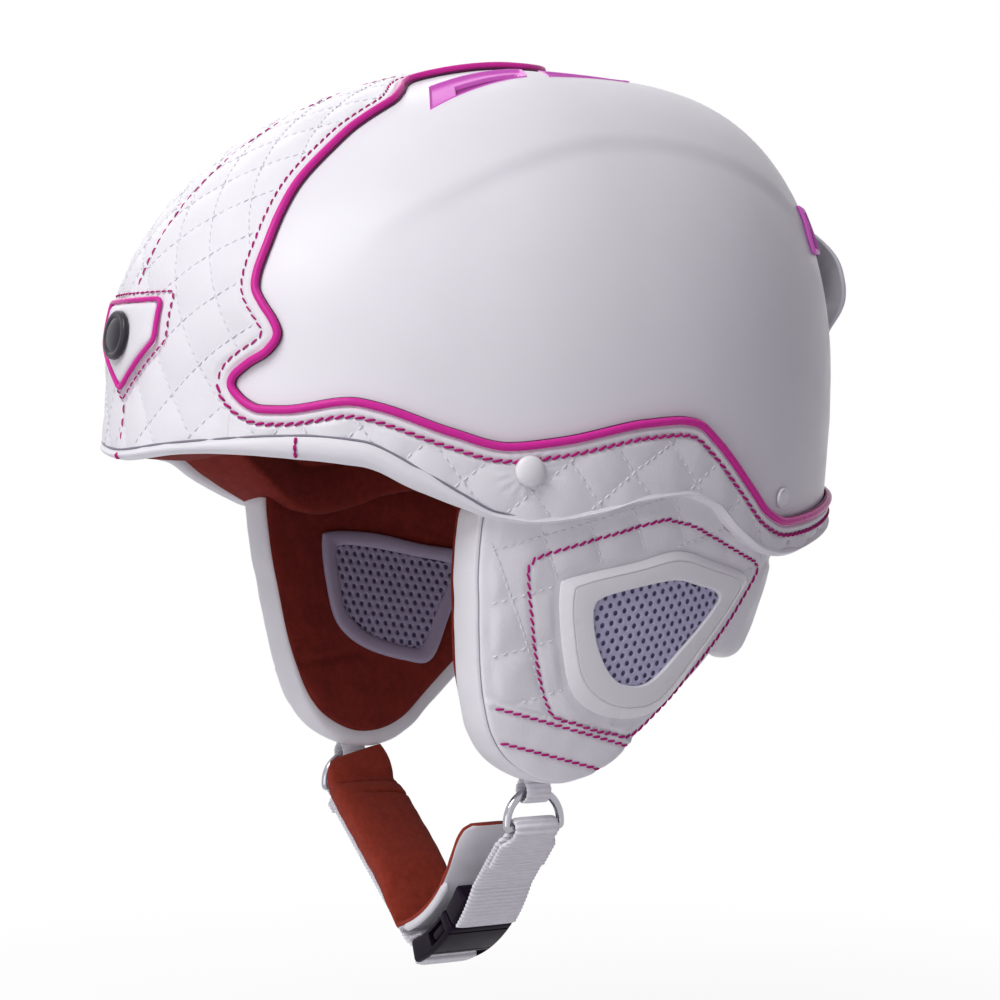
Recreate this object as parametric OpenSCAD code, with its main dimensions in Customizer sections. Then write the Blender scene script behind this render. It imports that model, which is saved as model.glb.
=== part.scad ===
// Ski helmet with a leather-trimmed shell, quilted ear pads, a buckled chin strap and a goggle strap loop.
// Front is -Y, the wearer's left is +X, up is +Z, and z = 0 is the level of the head opening.

/* [Shell] */
// Half of the shell's width
half_w = 109; // [104:1:114]
// Reach of the shell in front of its middle
front_reach = 144; // [140:1:148]
// Reach of the shell behind its middle
rear_reach = 136.5; // [132:0.5:140]
// Height of the crown above the widest level
crown_h = 111.5; // [106:0.5:116]
// Thickness of the hard shell
shell_wall = 3; // [2:0.5:3]
// Thickness of the foam liner
foam_wall = 20; // [16:1:22]
// Thickness of the inner fabric lining
lining_wall = 3; // [2:0.5:4]
// How far the side panels are set back below their crease
side_step = 1.5; // [0:0.5:2]

/* [Leather trim] */
// Thickness of the leather
leather_t = 2; // [1.5:0.5:2.5]
// Diameter of the piping along the leather's edge
piping_d = 3; // [2.6:0.2:4.4]
// Width of the front tongue between the top vents
tongue_w = 37; // [30:1:40]

/* [Ear pads] */
// Thickness of an ear pad
pad_t = 20; // [16:1:22]
// Thickness of the vent frame on the pad's outer face
frame_t = 3.2; // [2.5:0.1:4]

/* [Chin strap] */
// Width of the webbing
webbing_w = 25; // [20:1:26]
// Thickness of the webbing
webbing_t = 1.6; // [1.2:0.2:2]
// Thickness of the padded chin strap
chin_pad_t = 11; // [8:1:12]
// Diameter of the ring wire
ring_wire = 3; // [2.4:0.2:3.2]

/* [Goggle strap loop] */
// Width of the loop across the back of the shell
loop_w = 56; // [40:2:60]
// Room for the goggle strap inside the loop
loop_gap = 12; // [8:1:14]

/* [Hidden] */
$fn = 48;

// Dome: levels, middle and how fast each side closes towards the crown
equator_z = 40;
skirt_h = 185;
dome_y = 6;
front_close = 1.13;
rear_close = 0.455;
side_close = 0.74;
front_power = 1.96;
rear_power = 2.2;
brim_flare = 0.08;
fit_gap = 0.2;
foam_out = -shell_wall - fit_gap;
foam_in = foam_out - foam_wall;
lining_out = foam_in - fit_gap;
lining_in = lining_out - lining_wall;

// Heights of the lower rim and of the piping by direction: 0 is the front, 90 the side, 180 the back
rim_heights = [[-17, 12.6], [0, 10], [17, 12.6], [40, 15], [49, 13.2], [58, 3.3], [64, -5], [69, -11],
    [75, -13], [84, -10], [91, -5.7], [97, -4.1], [103, -7.6], [108, -16], [116, -24.6], [122, -26.2],
    [135, -22.5], [155, -14.3], [180, -8], [205, -14.3]];
piping_heights = [[27, 33.7], [30, 27.5], [33, 24.8], [37, 24.6], [47, 27.4], [51, 25.7], [62, 16.8],
    [70, 12], [77, 13.6], [91, 20], [96, 21], [99, 20], [102, 15], [111, -3.4], [116, -12], [122, -15.6],
    [130, -14.5], [155, -6.4], [180, -1], [205, -6.4]];
band_start = 27.8;

// Half width of the front panel by angle over the brow: 0 is the widest level, 90 straight up
panel_widths = [[-12, 48.6], [-3.3, 48.3], [-1.9, 48.8], [0.4, 53.2], [2.7, 59.3], [4.9, 61.5], [7, 59.7],
    [9.6, 55.6], [12.2, 52], [15, 50.9], [19, 50.2], [25.5, 47.8], [32, 45.2], [40.5, 43.2], [47, 40.7],
    [57, 37.6], [61, 32], [64.5, tongue_w * 0.65], [68, tongue_w * 0.52], [72, tongue_w / 2],
    [92, tongue_w / 2], [96, tongue_w * 0.43], [99, tongue_w * 0.28], [100.5, tongue_w * 0.1]];
panel_top = 100.5;

// Chin strap: tabs at the pads' lower edges, ring bars below them, buckle bent round a middle between them
strap_y = -14;
tab_x = 70;
tab_z = -110;
ring_r = 11;
ring_leg = 2;
ring_bar_z = tab_z - ring_r - ring_leg;
drop_ratio = 0.6;
bend_x = -tab_x * (1 - drop_ratio) / (1 + drop_ratio);
bend_z = tab_z;
buckle_r = 70;
buckle_w = 27;
buckle_t = 9;
plug_top = 34;
plug_end = 45.4;
socket_mouth = 46;
socket_end = 71;

// Goggle loop
loop_top = 96.5;
loop_end = 37;
snap_z = 49;

function spow(v, e) = sign(v) * pow(abs(v), e);
function flat(rows) = [for (row = rows) for (p = row) p];
function eased(a, table) = (lookup(a - 3, table) + lookup(a - 1, table) + lookup(a + 1, table)
    + lookup(a + 3, table)) / 4;
function smooth(v) = let (u = min(max(v, 0), 1)) u * u * (3 - 2 * u);
function unit(v) = v / norm(v);

// A point of the dome: direction a, level t, offset out of the shell's surface
function dome(a, t, off = 0) =
    let (c = cos(t), s = sin(t), front = cos(a) > 0, n = front ? front_power : rear_power,
         reach = front ? (front_reach + off) * (t < 0 ? 1 - brim_flare * s : pow(c, front_close))
                       : (rear_reach + off) * pow(c, rear_close))
    [(half_w + off) * pow(c, side_close) * spow(sin(a), 2 / n),
     dome_y - reach * spow(cos(a), 2 / n),
     equator_z + (s > 0 ? crown_h + off : skirt_h) * s];
function level(z, off = 0) = asin((z - equator_z) / (z > equator_z ? crown_h + off : skirt_h));
function at_height(a, z, off = 0) = dome(a, level(z, off), off);
function facing(a, z) =
    unit(cross(at_height(a + 1, z) - at_height(a - 1, z), at_height(a, z + 1) - at_height(a, z - 1)));

// Where a ray at angle b over the brow, x to the side, leaves the dome
function beyond(x, y, z, off) =
    let (s = (z - equator_z) / (z > equator_z ? crown_h + off : skirt_h), c = sqrt(max(1 - s * s, 0.000001)),
         n = y < dome_y ? front_power : rear_power,
         reach = y < dome_y ? (front_reach + off) * (s < 0 ? 1 - brim_flare * s : pow(c, front_close))
                            : (rear_reach + off) * pow(c, rear_close))
    abs(s) >= 1 || pow(abs(x) / ((half_w + off) * pow(c, side_close)), n)
        + pow(abs(y - dome_y) / reach, n) > 1;
function leaves(x, b, off, lo = 40, hi = 190, step = 0) =
    let (r = (lo + hi) / 2)
    step == 22 ? r : beyond(x, dome_y - r * cos(b), equator_z + r * sin(b), off)
        ? leaves(x, b, off, lo, r, step + 1) : leaves(x, b, off, r, hi, step + 1);
function brow(x, b, off = 0) =
    let (r = leaves(x, b, off)) [x, dome_y - r * cos(b), equator_z + r * sin(b)];
function over(x, y, off, lo = 60, hi = 170, step = 0) =
    let (z = (lo + hi) / 2)
    step == 22 ? z : beyond(x, y, z, off)
        ? over(x, y, off, lo, z, step + 1) : over(x, y, off, z, hi, step + 1);

// The side panels' crease and how far out the shell lies below it
function turned(a) = abs(a > 180 ? a - 360 : a);
function crease(a) = 46 - 19 * pow((turned(a) - 98) / 45, 2);
function side_set(a, t) = -side_step * smooth((turned(a) - 42) / 25) * smooth((152 - turned(a)) / 25)
    * smooth((crease(a) + 2.5 - t) / 5);

// Solid between an outer and an inner grid of points, row by row upwards and column by column to the left
module slab(outer, inner, wrap = false, cap = false) {
    m = len(outer);
    n = len(outer[0]);
    k = m * n;
    w = wrap ? n : n - 1;
    sides = [for (i = [0 : m - 2]) for (j = [0 : w - 1])
        let (q = (j + 1) % n, a = i * n + j, b = i * n + n + j, c = i * n + n + q, d = i * n + q)
        each [[a, b, c], [a, c, d], [k + c, k + b, k + a], [k + d, k + c, k + a]]];
    low = [for (j = [0 : w - 1]) let (q = (j + 1) % n) each [[j, q, k + q], [j, k + q, k + j]]];
    h = k - n;
    high = cap ? [[for (j = [0 : n - 1]) h + n - 1 - j], [for (j = [0 : n - 1]) k + h + j]]
        : [for (j = [0 : w - 1]) let (q = (j + 1) % n)
            each [[h + q, h + j, k + h + j], [h + q, k + h + j, k + h + q]]];
    ends = wrap ? [] : [for (i = [0 : m - 2]) let (a = i * n, b = a + n, c = a + n - 1, d = b + n - 1)
        each [[b, a, k + a], [b, k + a, k + b], [c, d, k + d], [c, k + d, k + c]]];
    polyhedron(concat(flat(outer), flat(inner)), concat(sides, low, high, ends), convexity = 8);
}

// Solid through a row of like rings, closed on itself or with flat ends
module loft(rings, closed = false) {
    m = len(rings);
    n = len(rings[0]);
    rows = closed ? m : m - 1;
    sides = [for (i = [0 : rows - 1]) for (j = [0 : n - 1])
        let (u = ((i + 1) % m) * n, q = (j + 1) % n)
        each [[i * n + j, u + j, u + q], [i * n + j, u + q, i * n + q]]];
    ends = closed ? [] : [[for (j = [0 : n - 1]) j], [for (j = [0 : n - 1]) m * n - 1 - j]];
    polyhedron(flat(rings), concat(sides, ends), convexity = 8);
}

// Round cord through points that each carry an outward direction
module cord(points, outward, r, sides, closed) {
    m = len(points);
    loft([for (i = [0 : m - 1])
        let (before = points[closed ? (i + m - 1) % m : max(i - 1, 0)],
             after = points[closed ? (i + 1) % m : min(i + 1, m - 1)],
             along = unit(after - before), u = unit(outward[i] - (outward[i] * along) * along),
             v = cross(along, u))
        [for (j = [0 : sides - 1])
            let (b = 360 * j / sides) points[i] + r * (cos(b) * u + sin(b) * v)]], closed);
}

// Smooth closed outline through a few corner points
function between(p, q, r, s, u) = 0.5 * (2 * q + (r - p) * u + (2 * p - 5 * q + 4 * r - s) * u * u
    + (3 * q - p - 3 * r + s) * u * u * u);
function smooth_loop(points, each_side) =
    let (m = len(points))
    [for (i = [0 : m - 1]) for (k = [0 : each_side - 1])
        between(points[(i + m - 1) % m], points[i], points[(i + 1) % m], points[(i + 2) % m],
            k / each_side)];
function shrink(outline, middle, f) = [for (p = outline) middle + f * (p - middle)];

module both_sides() {
    children();
    mirror([1, 0, 0]) children();
}

// Shell, foam and lining

dome_turns = 40;
dome_rows = 10;
function turn(j, count) = 360 * j / count;
function dome_level(a, i) =
    let (low = level(eased(turned(a), rim_heights) + 2.5), c = max(crease(a), low + 20))
    i <= 4 ? low + (c - 2.5 - low) * i / 4 : i == 5 ? c + 2.5 : c + 2.5 + (83.5 - c) * (i - 5) / 5;
function dome_row(i, off, stepped) = [for (j = [0 : dome_turns - 1])
    let (a = turn(j, dome_turns), t = dome_level(a, i)) dome(a, t, off + (stepped ? side_set(a, t) : 0))];

module dome_layer(off_out, off_in, stepped_out, stepped_in) {
    slab([for (i = [0 : dome_rows]) dome_row(i, off_out, stepped_out)],
        [for (i = [0 : dome_rows]) dome_row(i, off_in, stepped_in)], wrap = true, cap = true);
}

vent_front = [[37, -38], [54, -47], [47, -3], [29, 5]];
vent_rear = [[27, 14], [46, 7], [35, 49], [18, 56]];
vent_list = [vent_front, vent_rear];

module vent_cut(corners, margin) {
    translate([0, 0, equator_z + crown_h / 2]) linear_extrude(crown_h)
        offset(delta = margin) polygon(corners);
}

module outer_shell() color("white") difference() {
    dome_layer(0, -shell_wall, true, true);
    both_sides() for (v = vent_list) vent_cut(v, fit_gap);
}

module foam_liner() color("gainsboro") dome_layer(foam_out, foam_in, true, false);

module crown_lining() color("saddlebrown") dome_layer(lining_out, lining_in, false, false);

// Sweat pad inside the brow: crowned between its two edges and drawn in at both ends
module brow_pad() {
    half_turn = 58;
    pad_h = 30;
    swell = 7;
    function fold(j) = sin(180 * j / 24);
    color("saddlebrown") loft([for (j = [0 : 24])
        let (a = half_turn * (1 - j / 12), low = eased(turned(a), rim_heights) + 8,
             grow = 0.35 + 0.65 * sqrt(fold(j)))
        [for (k = [0 : 11])
            let (u = cos(30 * k), w = sin(30 * k), z = low + pad_h / 2 + grow * pad_h / 2 * spow(w, 0.8))
            at_height(a, z, lining_in - 1.6 - swell / 2 * grow + swell / 2 * grow * spow(u, 0.8))]]);
}

// Leather trim

// Panel rows follow the rim at the bottom and run up over the brow to the tongue's tip
panel_low = -11;
panel_gap = 0.5;
panel_rows = [-3.3, -1.9, 0.4, 2.7, 4.9, 7, 9.6, 12.2, 15, 19, 25.5, 32, 40.5, 47, 53, 57, 61, 64.5, 68,
    75, 82, 88, 92, 96, 99, panel_top];
function panel_row(i, off) =
    let (b = i == 0 ? panel_low : i == 1 ? (panel_low + panel_rows[0]) / 2 : panel_rows[i - 2],
         w = lookup(b, panel_widths))
    [for (k = [-5 : 5]) brow(w * k / 5, b, off)];

module leather_front_panel() color("white") {
    n = len(panel_rows) + 1;
    slab([for (i = [0 : n]) panel_row(i, leather_t + panel_gap)],
        [for (i = [0 : n]) panel_row(i, panel_gap)]);
}

// How much further away a slanting edge keeps the piping, measured level or upright
function slanted(b, table, reach) =
    norm([1, (lookup(b + 0.5, table) - lookup(b - 0.5, table)) / reach]);

module leather_rim_band() {
    turns = 96;
    span = 360 - 2 * band_start;
    edge_gap = piping_d / 2 + 0.45;
    function row(f, off) = [for (j = [0 : turns])
        let (a = band_start + span * j / turns, b = turned(a), low = eased(b, rim_heights) + fit_gap,
             high = lookup(b, piping_heights) - edge_gap * slanted(b, piping_heights, 1.95))
        at_height(a, low + f * (high - low), off + side_set(a, 0))];
    color("white") slab([for (f = [0, 0.5, 1]) row(f, leather_t + fit_gap)],
        [for (f = [0, 0.5, 1]) row(f, fit_gap)]);
}

// Leather turned under the rim in a roll, from the outer face to the lining
module rim_binding() {
    turns = 80;
    function ring(j) =
        let (a = turn(j, turns), z = eased(turned(a), rim_heights) - fit_gap, set = side_set(a, 0))
        [at_height(a, z, leather_t + set), at_height(a, z - 0.9, leather_t + 0.6 + set),
         at_height(a, z - 2.4, leather_t - 0.2 + set), at_height(a, z - 3.4, -2),
         at_height(a, z - 3.2, lining_in + 4), at_height(a, z - 1.2, lining_in - 0.6),
         at_height(a, z, lining_in)];
    color("white") loft([for (j = [0 : turns - 1]) ring(j)], closed = true);
}

module shell_piping() {
    lift = piping_d / 2 + fit_gap;
    n = len(panel_rows) - 1;
    round_turns = [29, 30.5, 32.5, 35, 39, 43, 47, 51, each [55 : 4 : 95], 97.5, 99.5, 102, 105, 108, 111,
        113.5, each [116 : 4 : 180]];
    function over_brow(i) = let (b = panel_rows[i], aside = (lift + 0.3) * slanted(b, panel_widths, 2.4))
        brow(lookup(b, panel_widths) + aside, b, lift);
    function round_side(a) = at_height(a, lookup(a, piping_heights), lift + side_set(a, 0));
    half = concat([brow(0, panel_top + 2.4, lift)], [for (i = [0 : n - 1]) over_brow(n - 1 - i)],
        [for (a = round_turns) round_side(a)]);
    m = len(half);
    mirrored = [for (i = [1 : m - 1]) let (p = half[m - 1 - i]) [-p[0], p[1], p[2]]];
    path = concat(half, [for (i = [0 : m - 3]) mirrored[i]]);
    outward = [for (p = path) unit(p - [0, 0, equator_z])];
    color("deeppink") cord(path, outward, piping_d / 2, 6, true);
}

// Shield patch on the brow, its piping and a plain round badge
patch_corners = [[-21, 63], [21, 63], [21, 49], [0, 32.5], [-21, 49]];
patch_middle = [0, 51];
patch_off = panel_gap + leather_t + 2 * fit_gap;
badge_d = 17.5;

module brow_plate(outline, off, thick) {
    function ring(f, o) =
        [for (p = shrink(outline, patch_middle, f)) at_height(asin(p[0] / half_w), p[1], o)];
    loft([ring(0.05, off + thick), ring(0.6, off + thick), ring(1, off + thick), ring(1, off),
        ring(0.6, off), ring(0.05, off)]);
}
function patch_edge(grow) = [for (i = [0 : 4]) for (k = [0 : 4])
    let (p = patch_corners[i], q = patch_corners[(i + 1) % 5])
    patch_middle + grow * (p + (q - p) * k / 5 - patch_middle)];

module badge_patch() color("white") brow_plate(patch_edge(0.94), patch_off, 1.6);

module badge_patch_piping() {
    cord_r = 1.1;
    edge = patch_edge(1.03);
    path = [for (i = [0 : 24]) let (p = edge[24 - i])
        at_height(asin(p[0] / half_w), p[1], patch_off + cord_r)];
    color("deeppink") cord(path, [for (p = path) [0, -1, 0.1]], cord_r, 6, true);
}

module front_badge() {
    badge_t = 3;
    r = badge_d / 2;
    bottom = at_height(0, patch_middle[1], patch_off + 1.6 + 3 * fit_gap);
    color("dimgray") translate(bottom) rotate([90 - 8, 0, 0]) rotate_extrude()
        polygon([[0, 0], [r, 0], [r, 1.4], [r - 0.8, 2.2], [r - 2, 2.2], [r - 2.4, 1.6], [3, badge_t - 0.3],
            [0, badge_t]]);
}

// Vents: a moulded dish with a raised lip and a louvre step, seated in the shell's cut-out

module vent_insert(corners, side) {
    steps = 7;
    function lip(u) = smooth(6 * min(u, 1 - u));
    function point(u, v, off) =
        let (low = (1 - u) * corners[0] + u * corners[1], high = (1 - u) * corners[3] + u * corners[2],
             p = (1 - v) * low + v * high)
        [side * p[0], p[1], over(p[0], p[1], off)];
    function dish(u, v) = 0.8 - 2.6 * lip(u) * lip(v) - 0.5 * lip(v) * smooth(8 * (u - 0.55)) * lip(u);
    function row(j, top) = [for (i = [0 : steps])
        let (u = (side > 0 ? i : steps - i) / steps, v = j / steps)
        point(u, v, top ? dish(u, v) : -shell_wall + 0.05)];
    color("orchid") slab([for (j = [0 : steps]) row(j, true)], [for (j = [0 : steps]) row(j, false)]);
}
module front_vent_left() vent_insert(vent_front, 1);
module front_vent_right() vent_insert(vent_front, -1);
module rear_vent_left() vent_insert(vent_rear, 1);
module rear_vent_right() vent_insert(vent_rear, -1);

module exhaust_vents() {
    across = [141, 143, 147, 149];
    heights = [84, 87, 93, 99, 102];
    function hollow(i, j) = (i == 0 || i == 4 || j == 0 || j == 3) ? 1.5 : 0.6;
    function point(i, j, off) =
        at_height(across[j], heights[i], fit_gap + off + side_set(across[j], level(heights[i])));
    color("orchid") both_sides() slab([for (i = [0 : 4]) [for (j = [0 : 3]) point(i, j, hollow(i, j))]],
        [for (i = [0 : 4]) [for (j = [0 : 3]) point(i, j, 0)]]);
}

// Fasteners on the shell

module on_side(a, z, off) {
    n = facing(a, z);
    translate(at_height(a, z, off)) rotate([0, acos(n[2]), atan2(n[1], n[0])]) children();
}

module domed_cap(d, h) rotate_extrude()
    polygon(concat([[0, 0], [d / 2, 0], [d / 2, h * 0.3]],
        [for (k = [1 : 6]) [d / 2 * cos(15 * k), h * (0.3 + 0.7 * sin(15 * k))]]));

module trim_snaps() {
    snap_turn = 73;
    color("white") both_sides()
        on_side(snap_turn, 4, leather_t + 2.5 * fit_gap + side_set(snap_turn, 0)) domed_cap(10.5, 3.2);
}

module shell_rivets() {
    rivet_turn = 121;
    color("whitesmoke") both_sides() on_side(rivet_turn, -7, side_set(rivet_turn, 0)) domed_cap(6.5, 1.6);
}

// Goggle strap loop at the back: a base strap on the shell and a flap that snaps down over it

loop_half = asin(loop_w / 2 / half_w);
function loop_strip(heights, offs, half) = [for (i = [0 : len(heights) - 1])
    [for (j = [-3 : 3]) at_height(180 + half * j / 3, heights[i], offs[i])]];

module goggle_loop_base() {
    heights = [41, 55, 67, 79, 89, 97.5, 98.2, 102, 106];
    low = [for (z = heights) fit_gap];
    high = [1.5, 1.5, 1.5, 1.5, 1.5, 1.5, 4, 3.8, 1.8];
    color("white") slab(loop_strip(heights, high, loop_half), loop_strip(heights, low, loop_half));
}

flap_heights = [loop_end, 45, snap_z + 4, 56, 60, 64, 69, 75, 80, 84, 88, 91, 94, loop_top];
flap_room = [0.16, 0.16, 0.16, 0.26, 0.5, 0.74, 0.93, 1, 0.99, 0.93, 0.78, 0.6, 0.38, 0.14];
module goggle_loop_flap() {
    flap_t = 2;
    low = [for (f = flap_room) 1.5 + f * loop_gap];
    color("white") slab(loop_strip(flap_heights, [for (o = low) o + flap_t], loop_half),
        loop_strip(flap_heights, low, loop_half));
}

module on_back(z, off) translate(at_height(180, z, off)) rotate([-90, 0, 0]) children();

module goggle_snap_stud() color("silver") on_back(snap_z, 1.6) cylinder(d = 8, h = 1.2);

module goggle_snap_cap() color("silver")
    on_back(snap_z, 1.5 + flap_room[1] * loop_gap + 2.6) domed_cap(13, 2.4);

// Neck pad: a quilted roll that hangs from the rear rim and curves in under the nape

module neck_pad() {
    first_turn = 126;
    pad_h = 42;
    thick = 15;
    steps = 28;
    color("white") loft([for (j = [0 : steps])
        let (a = first_turn + (360 - 2 * first_turn) * j / steps, f = min(j, steps - j) / 4,
             grow = f >= 1 ? 1 : 0.45 + 0.55 * sqrt(f * (2 - f)), top = eased(turned(a), rim_heights) - 4.1)
        [for (k = [0 : 13])
            let (u = cos(360 * k / 14), w = -sin(360 * k / 14), h = 0.5 + 0.5 * spow(w, 0.7),
                 z = top - pad_h / 2 + grow * pad_h * (h - 0.5), mid = -16 - 9 * smooth((top - z) / pad_h),
                 p = at_height(a, max(z, -28), mid - thick / 2 + grow * thick / 2 * spow(u, 0.7)))
            [p[0], p[1], z]]]);
}

// Ear pads

pad_corners = [[-48, -16.5], [-25, -18.5], [0, -15.5], [24, -11.5], [40, -17], [56, -27.5], [70, -33.5],
    [66, -48], [50, -66], [22, -91], [8, -102.5], [-6, -107], [-20, -105], [-34, -95], [-42, -77],
    [-47, -47]];
pad_outline = smooth_loop(pad_corners, 2);
pad_middle = [6, -55];
pad_lean = 0.22;
function pad_face(y, z) = 103 + pad_lean * (z + 10) - 0.0026 * (y - 5) * (y - 5);
function pad_ring(outline, f, depth) =
    [for (p = shrink(outline, pad_middle, f)) [pad_face(p[0], p[1]) - depth, p[0], p[1]]];

// The padded body swells between its seams, with a sewn channel round the vent frame
module ear_pad() {
    face = [[0.08, 0], [0.4, 0], [0.62, 0.2], [0.72, 1.3], [0.8, 0.3], [0.9, 1.2], [0.96, 3.4], [0.99, 6]];
    n = len(face);
    color("white") loft(concat([for (s = face) pad_ring(pad_outline, s[0], s[1])],
        [pad_ring(pad_outline, 1, pad_t / 2)],
        [for (i = [0 : n - 1]) let (s = face[n - 1 - i])
            pad_ring(pad_outline, s[0], pad_t - s[1] * (i < 4 ? 1 : 0))]));
}
module ear_pad_left() ear_pad();
module ear_pad_right() mirror([1, 0, 0]) ear_pad();

module pad_layer(outline, depth, thick) {
    loft(concat([for (f = [0.1, 0.6, 1]) pad_ring(outline, f, depth - thick)],
        [for (f = [1, 0.6, 0.1]) pad_ring(outline, f, depth)]));
}

lining_t = 2;
module ear_lining() color("saddlebrown")
    pad_layer(shrink(pad_outline, pad_middle, 0.86), pad_t + fit_gap + lining_t, lining_t);
module ear_lining_left() ear_lining();
module ear_lining_right() mirror([1, 0, 0]) ear_lining();

// Vent frame: a moulded ring round the mesh window
frame_outer = smooth_loop([[-19, -37.4], [-15, -33.2], [10, -28.5], [28, -25], [46, -29.2], [64, -34.8],
    [62, -42.3], [46, -61.7], [30, -80], [16, -84.5], [1, -82], [-10, -73.5], [-16, -56.2]], 2);
frame_window = smooth_loop([[-6, -43.8], [-2, -40.2], [12, -37.2], [27, -35.3], [38, -37.3], [49, -40.9],
    [47, -46.8], [34, -60.1], [21, -71.4], [10, -71.8], [3, -67.1], [-2, -59.3], [-5, -51.5]], 2);
inner_outer = smooth_loop([[-24, -26.5], [-20, -22.5], [0, -23.5], [20, -28], [40, -32], [40, -38],
    [30, -56.5], [20, -74], [8, -74], [-10, -68], [-21, -58], [-24, -42]], 2);
inner_window = smooth_loop([[-18, -31], [-15, -28], [0, -29.5], [17, -33], [33, -36.5], [33, -40.5],
    [25, -54.5], [17, -68], [8, -68], [-7, -62.5], [-16, -54], [-18, -43]], 2);

function loop_at(outline, depth) = [for (p = outline) [pad_face(p[0], p[1]) - depth, p[0], p[1]]];

module pad_frame(outer, window, depth, thick) {
    n = len(outer);
    soft = [for (i = [0 : n - 1]) 0.8 * outer[i] + 0.2 * window[i]];
    loft([loop_at(window, depth), loop_at(window, depth - thick * 0.5), loop_at(soft, depth - thick),
        loop_at(outer, depth - thick * 0.6), loop_at(outer, depth)], closed = true);
}

module ear_vent_frame() color("white") pad_frame(frame_outer, frame_window, -fit_gap, frame_t);
module ear_vent_frame_left() ear_vent_frame();
module ear_vent_frame_right() mirror([1, 0, 0]) ear_vent_frame();

module ear_vent_mesh() color("lightsteelblue") pad_mesh(frame_window, -1, 0.8);
module ear_vent_mesh_left() ear_vent_mesh();
module ear_vent_mesh_right() mirror([1, 0, 0]) ear_vent_mesh();

module pad_mesh(outline, depth, thick) {
    middle = [12, -51];
    edge = shrink(outline, middle, 0.97);
    core = shrink(edge, middle, 0.1);
    loft([loop_at(core, depth - thick), loop_at(edge, depth - thick), loop_at(edge, depth),
        loop_at(core, depth)]);
}

inner_depth = pad_t + lining_t + 3 * fit_gap;
module ear_inner_frame() color("gray") pad_frame(inner_outer, inner_window, inner_depth + 2.2, 2.2);
module ear_inner_frame_left() ear_inner_frame();
module ear_inner_frame_right() mirror([1, 0, 0]) ear_inner_frame();

module ear_inner_mesh() color("lightsteelblue") pad_mesh(inner_window, inner_depth + 1.2, 1);
module ear_inner_mesh_left() ear_inner_mesh();
module ear_inner_mesh_right() mirror([1, 0, 0]) ear_inner_mesh();

// Ring tabs and rings

module along_y(x, z, length, r) translate([x, strap_y, z]) rotate([90, 0, 0])
    cylinder(r = r, h = length, center = true);

module ring_tab() {
    eye_w = 10;
    eye_out = 4.3;
    eye_in = 3.4;
    sewn_in = 9;
    color("white") difference() {
        union() {
            along_y(tab_x, tab_z, eye_w, eye_out);
            translate([tab_x - 1.4, strap_y - eye_w / 2, tab_z]) cube([2.8, eye_w, sewn_in]);
        }
        along_y(tab_x, tab_z, eye_w + 1, eye_in);
    }
}
module ring_tab_left() ring_tab();
module ring_tab_right() mirror([1, 0, 0]) ring_tab();

module strap_ring() {
    wire = ring_wire / 2;
    color("silver") translate([tab_x, strap_y, 0]) {
        translate([0, 0, tab_z - ring_r]) rotate([90, 0, 90]) rotate_extrude(angle = 180)
            translate([ring_r, 0]) circle(wire);
        for (s = [-1, 1]) translate([0, s * ring_r, 0]) {
            translate([0, 0, ring_bar_z]) cylinder(r = wire, h = ring_leg);
            translate([0, 0, ring_bar_z]) sphere(wire);
        }
        translate([0, 0, ring_bar_z]) rotate([90, 0, 0]) cylinder(r = wire, h = 2 * ring_r, center = true);
    }
}
module strap_ring_left() strap_ring();
module strap_ring_right() mirror([1, 0, 0]) strap_ring();

// Buckle and webbing, bent round the strap's middle: from and to are angles below the level, r is the radius

module bent(from, to, r_in, r_out, y_in, y_out) {
    translate([bend_x, strap_y, bend_z]) rotate([90, 0, 0]) rotate([0, 0, -to])
        rotate_extrude(angle = to - from)
        polygon([[r_in, -y_out], [r_out, -y_out], [r_out, -y_in], [r_in, -y_in]]);
}
function bent_point(angle, r) = [bend_x + r * cos(angle), bend_z - r * sin(angle)];

strap_half = webbing_w / 2;
slot_half = strap_half - 0.9;
recess_half = strap_half - 0.6;
fold_half = strap_half - 1.6;
tail_half = strap_half - 1.4;
loop_in = ring_wire / 2 + 0.4;
loop_out = loop_in + webbing_t;

// Flat strip between two points of the strap's plane
module strip(p, q, t, w) {
    d = unit(q - p);
    n = [-d[1], d[0]] * t / 2;
    translate([0, strap_y + w, 0]) rotate([90, 0, 0]) linear_extrude(2 * w)
        polygon([p - n, q - n, q + n, p + n]);
}

module webbing_eye(x) difference() {
    along_y(x, ring_bar_z, 2 * ring_r - ring_wire - 1.2, loop_out);
    along_y(x, ring_bar_z, 2 * ring_r, loop_in);
}

plug_out = buckle_r + buckle_t / 2 - 0.5;
plug_in = buckle_r - buckle_t / 2 + 0.5;
module near_webbing() {
    lie = plug_out + 0.3;
    lap = bent_point(plug_top - 5, lie + webbing_t / 2);
    eye = [tab_x, ring_bar_z];
    down = unit(lap - eye);
    start = eye + down * (loop_in + webbing_t / 2);
    color("whitesmoke") {
        webbing_eye(tab_x);
        strip(start, start + down * 6, 2 * webbing_t, ring_r - 3);
        strip(start + down * 5.5, lap, 1.6 * webbing_t, strap_half);
        bent(plug_top - 5.4, plug_end - 1, lie, lie + webbing_t, -strap_half, strap_half);
        bent(plug_top + 2.6, plug_top + 3.9, plug_in - 0.6, lie + 0.5, -fold_half, fold_half);
        bent(plug_top + 2.4, plug_end - 2, plug_in - 0.3 - webbing_t, plug_in - 0.3, -tail_half, tail_half);
    }
}

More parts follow.
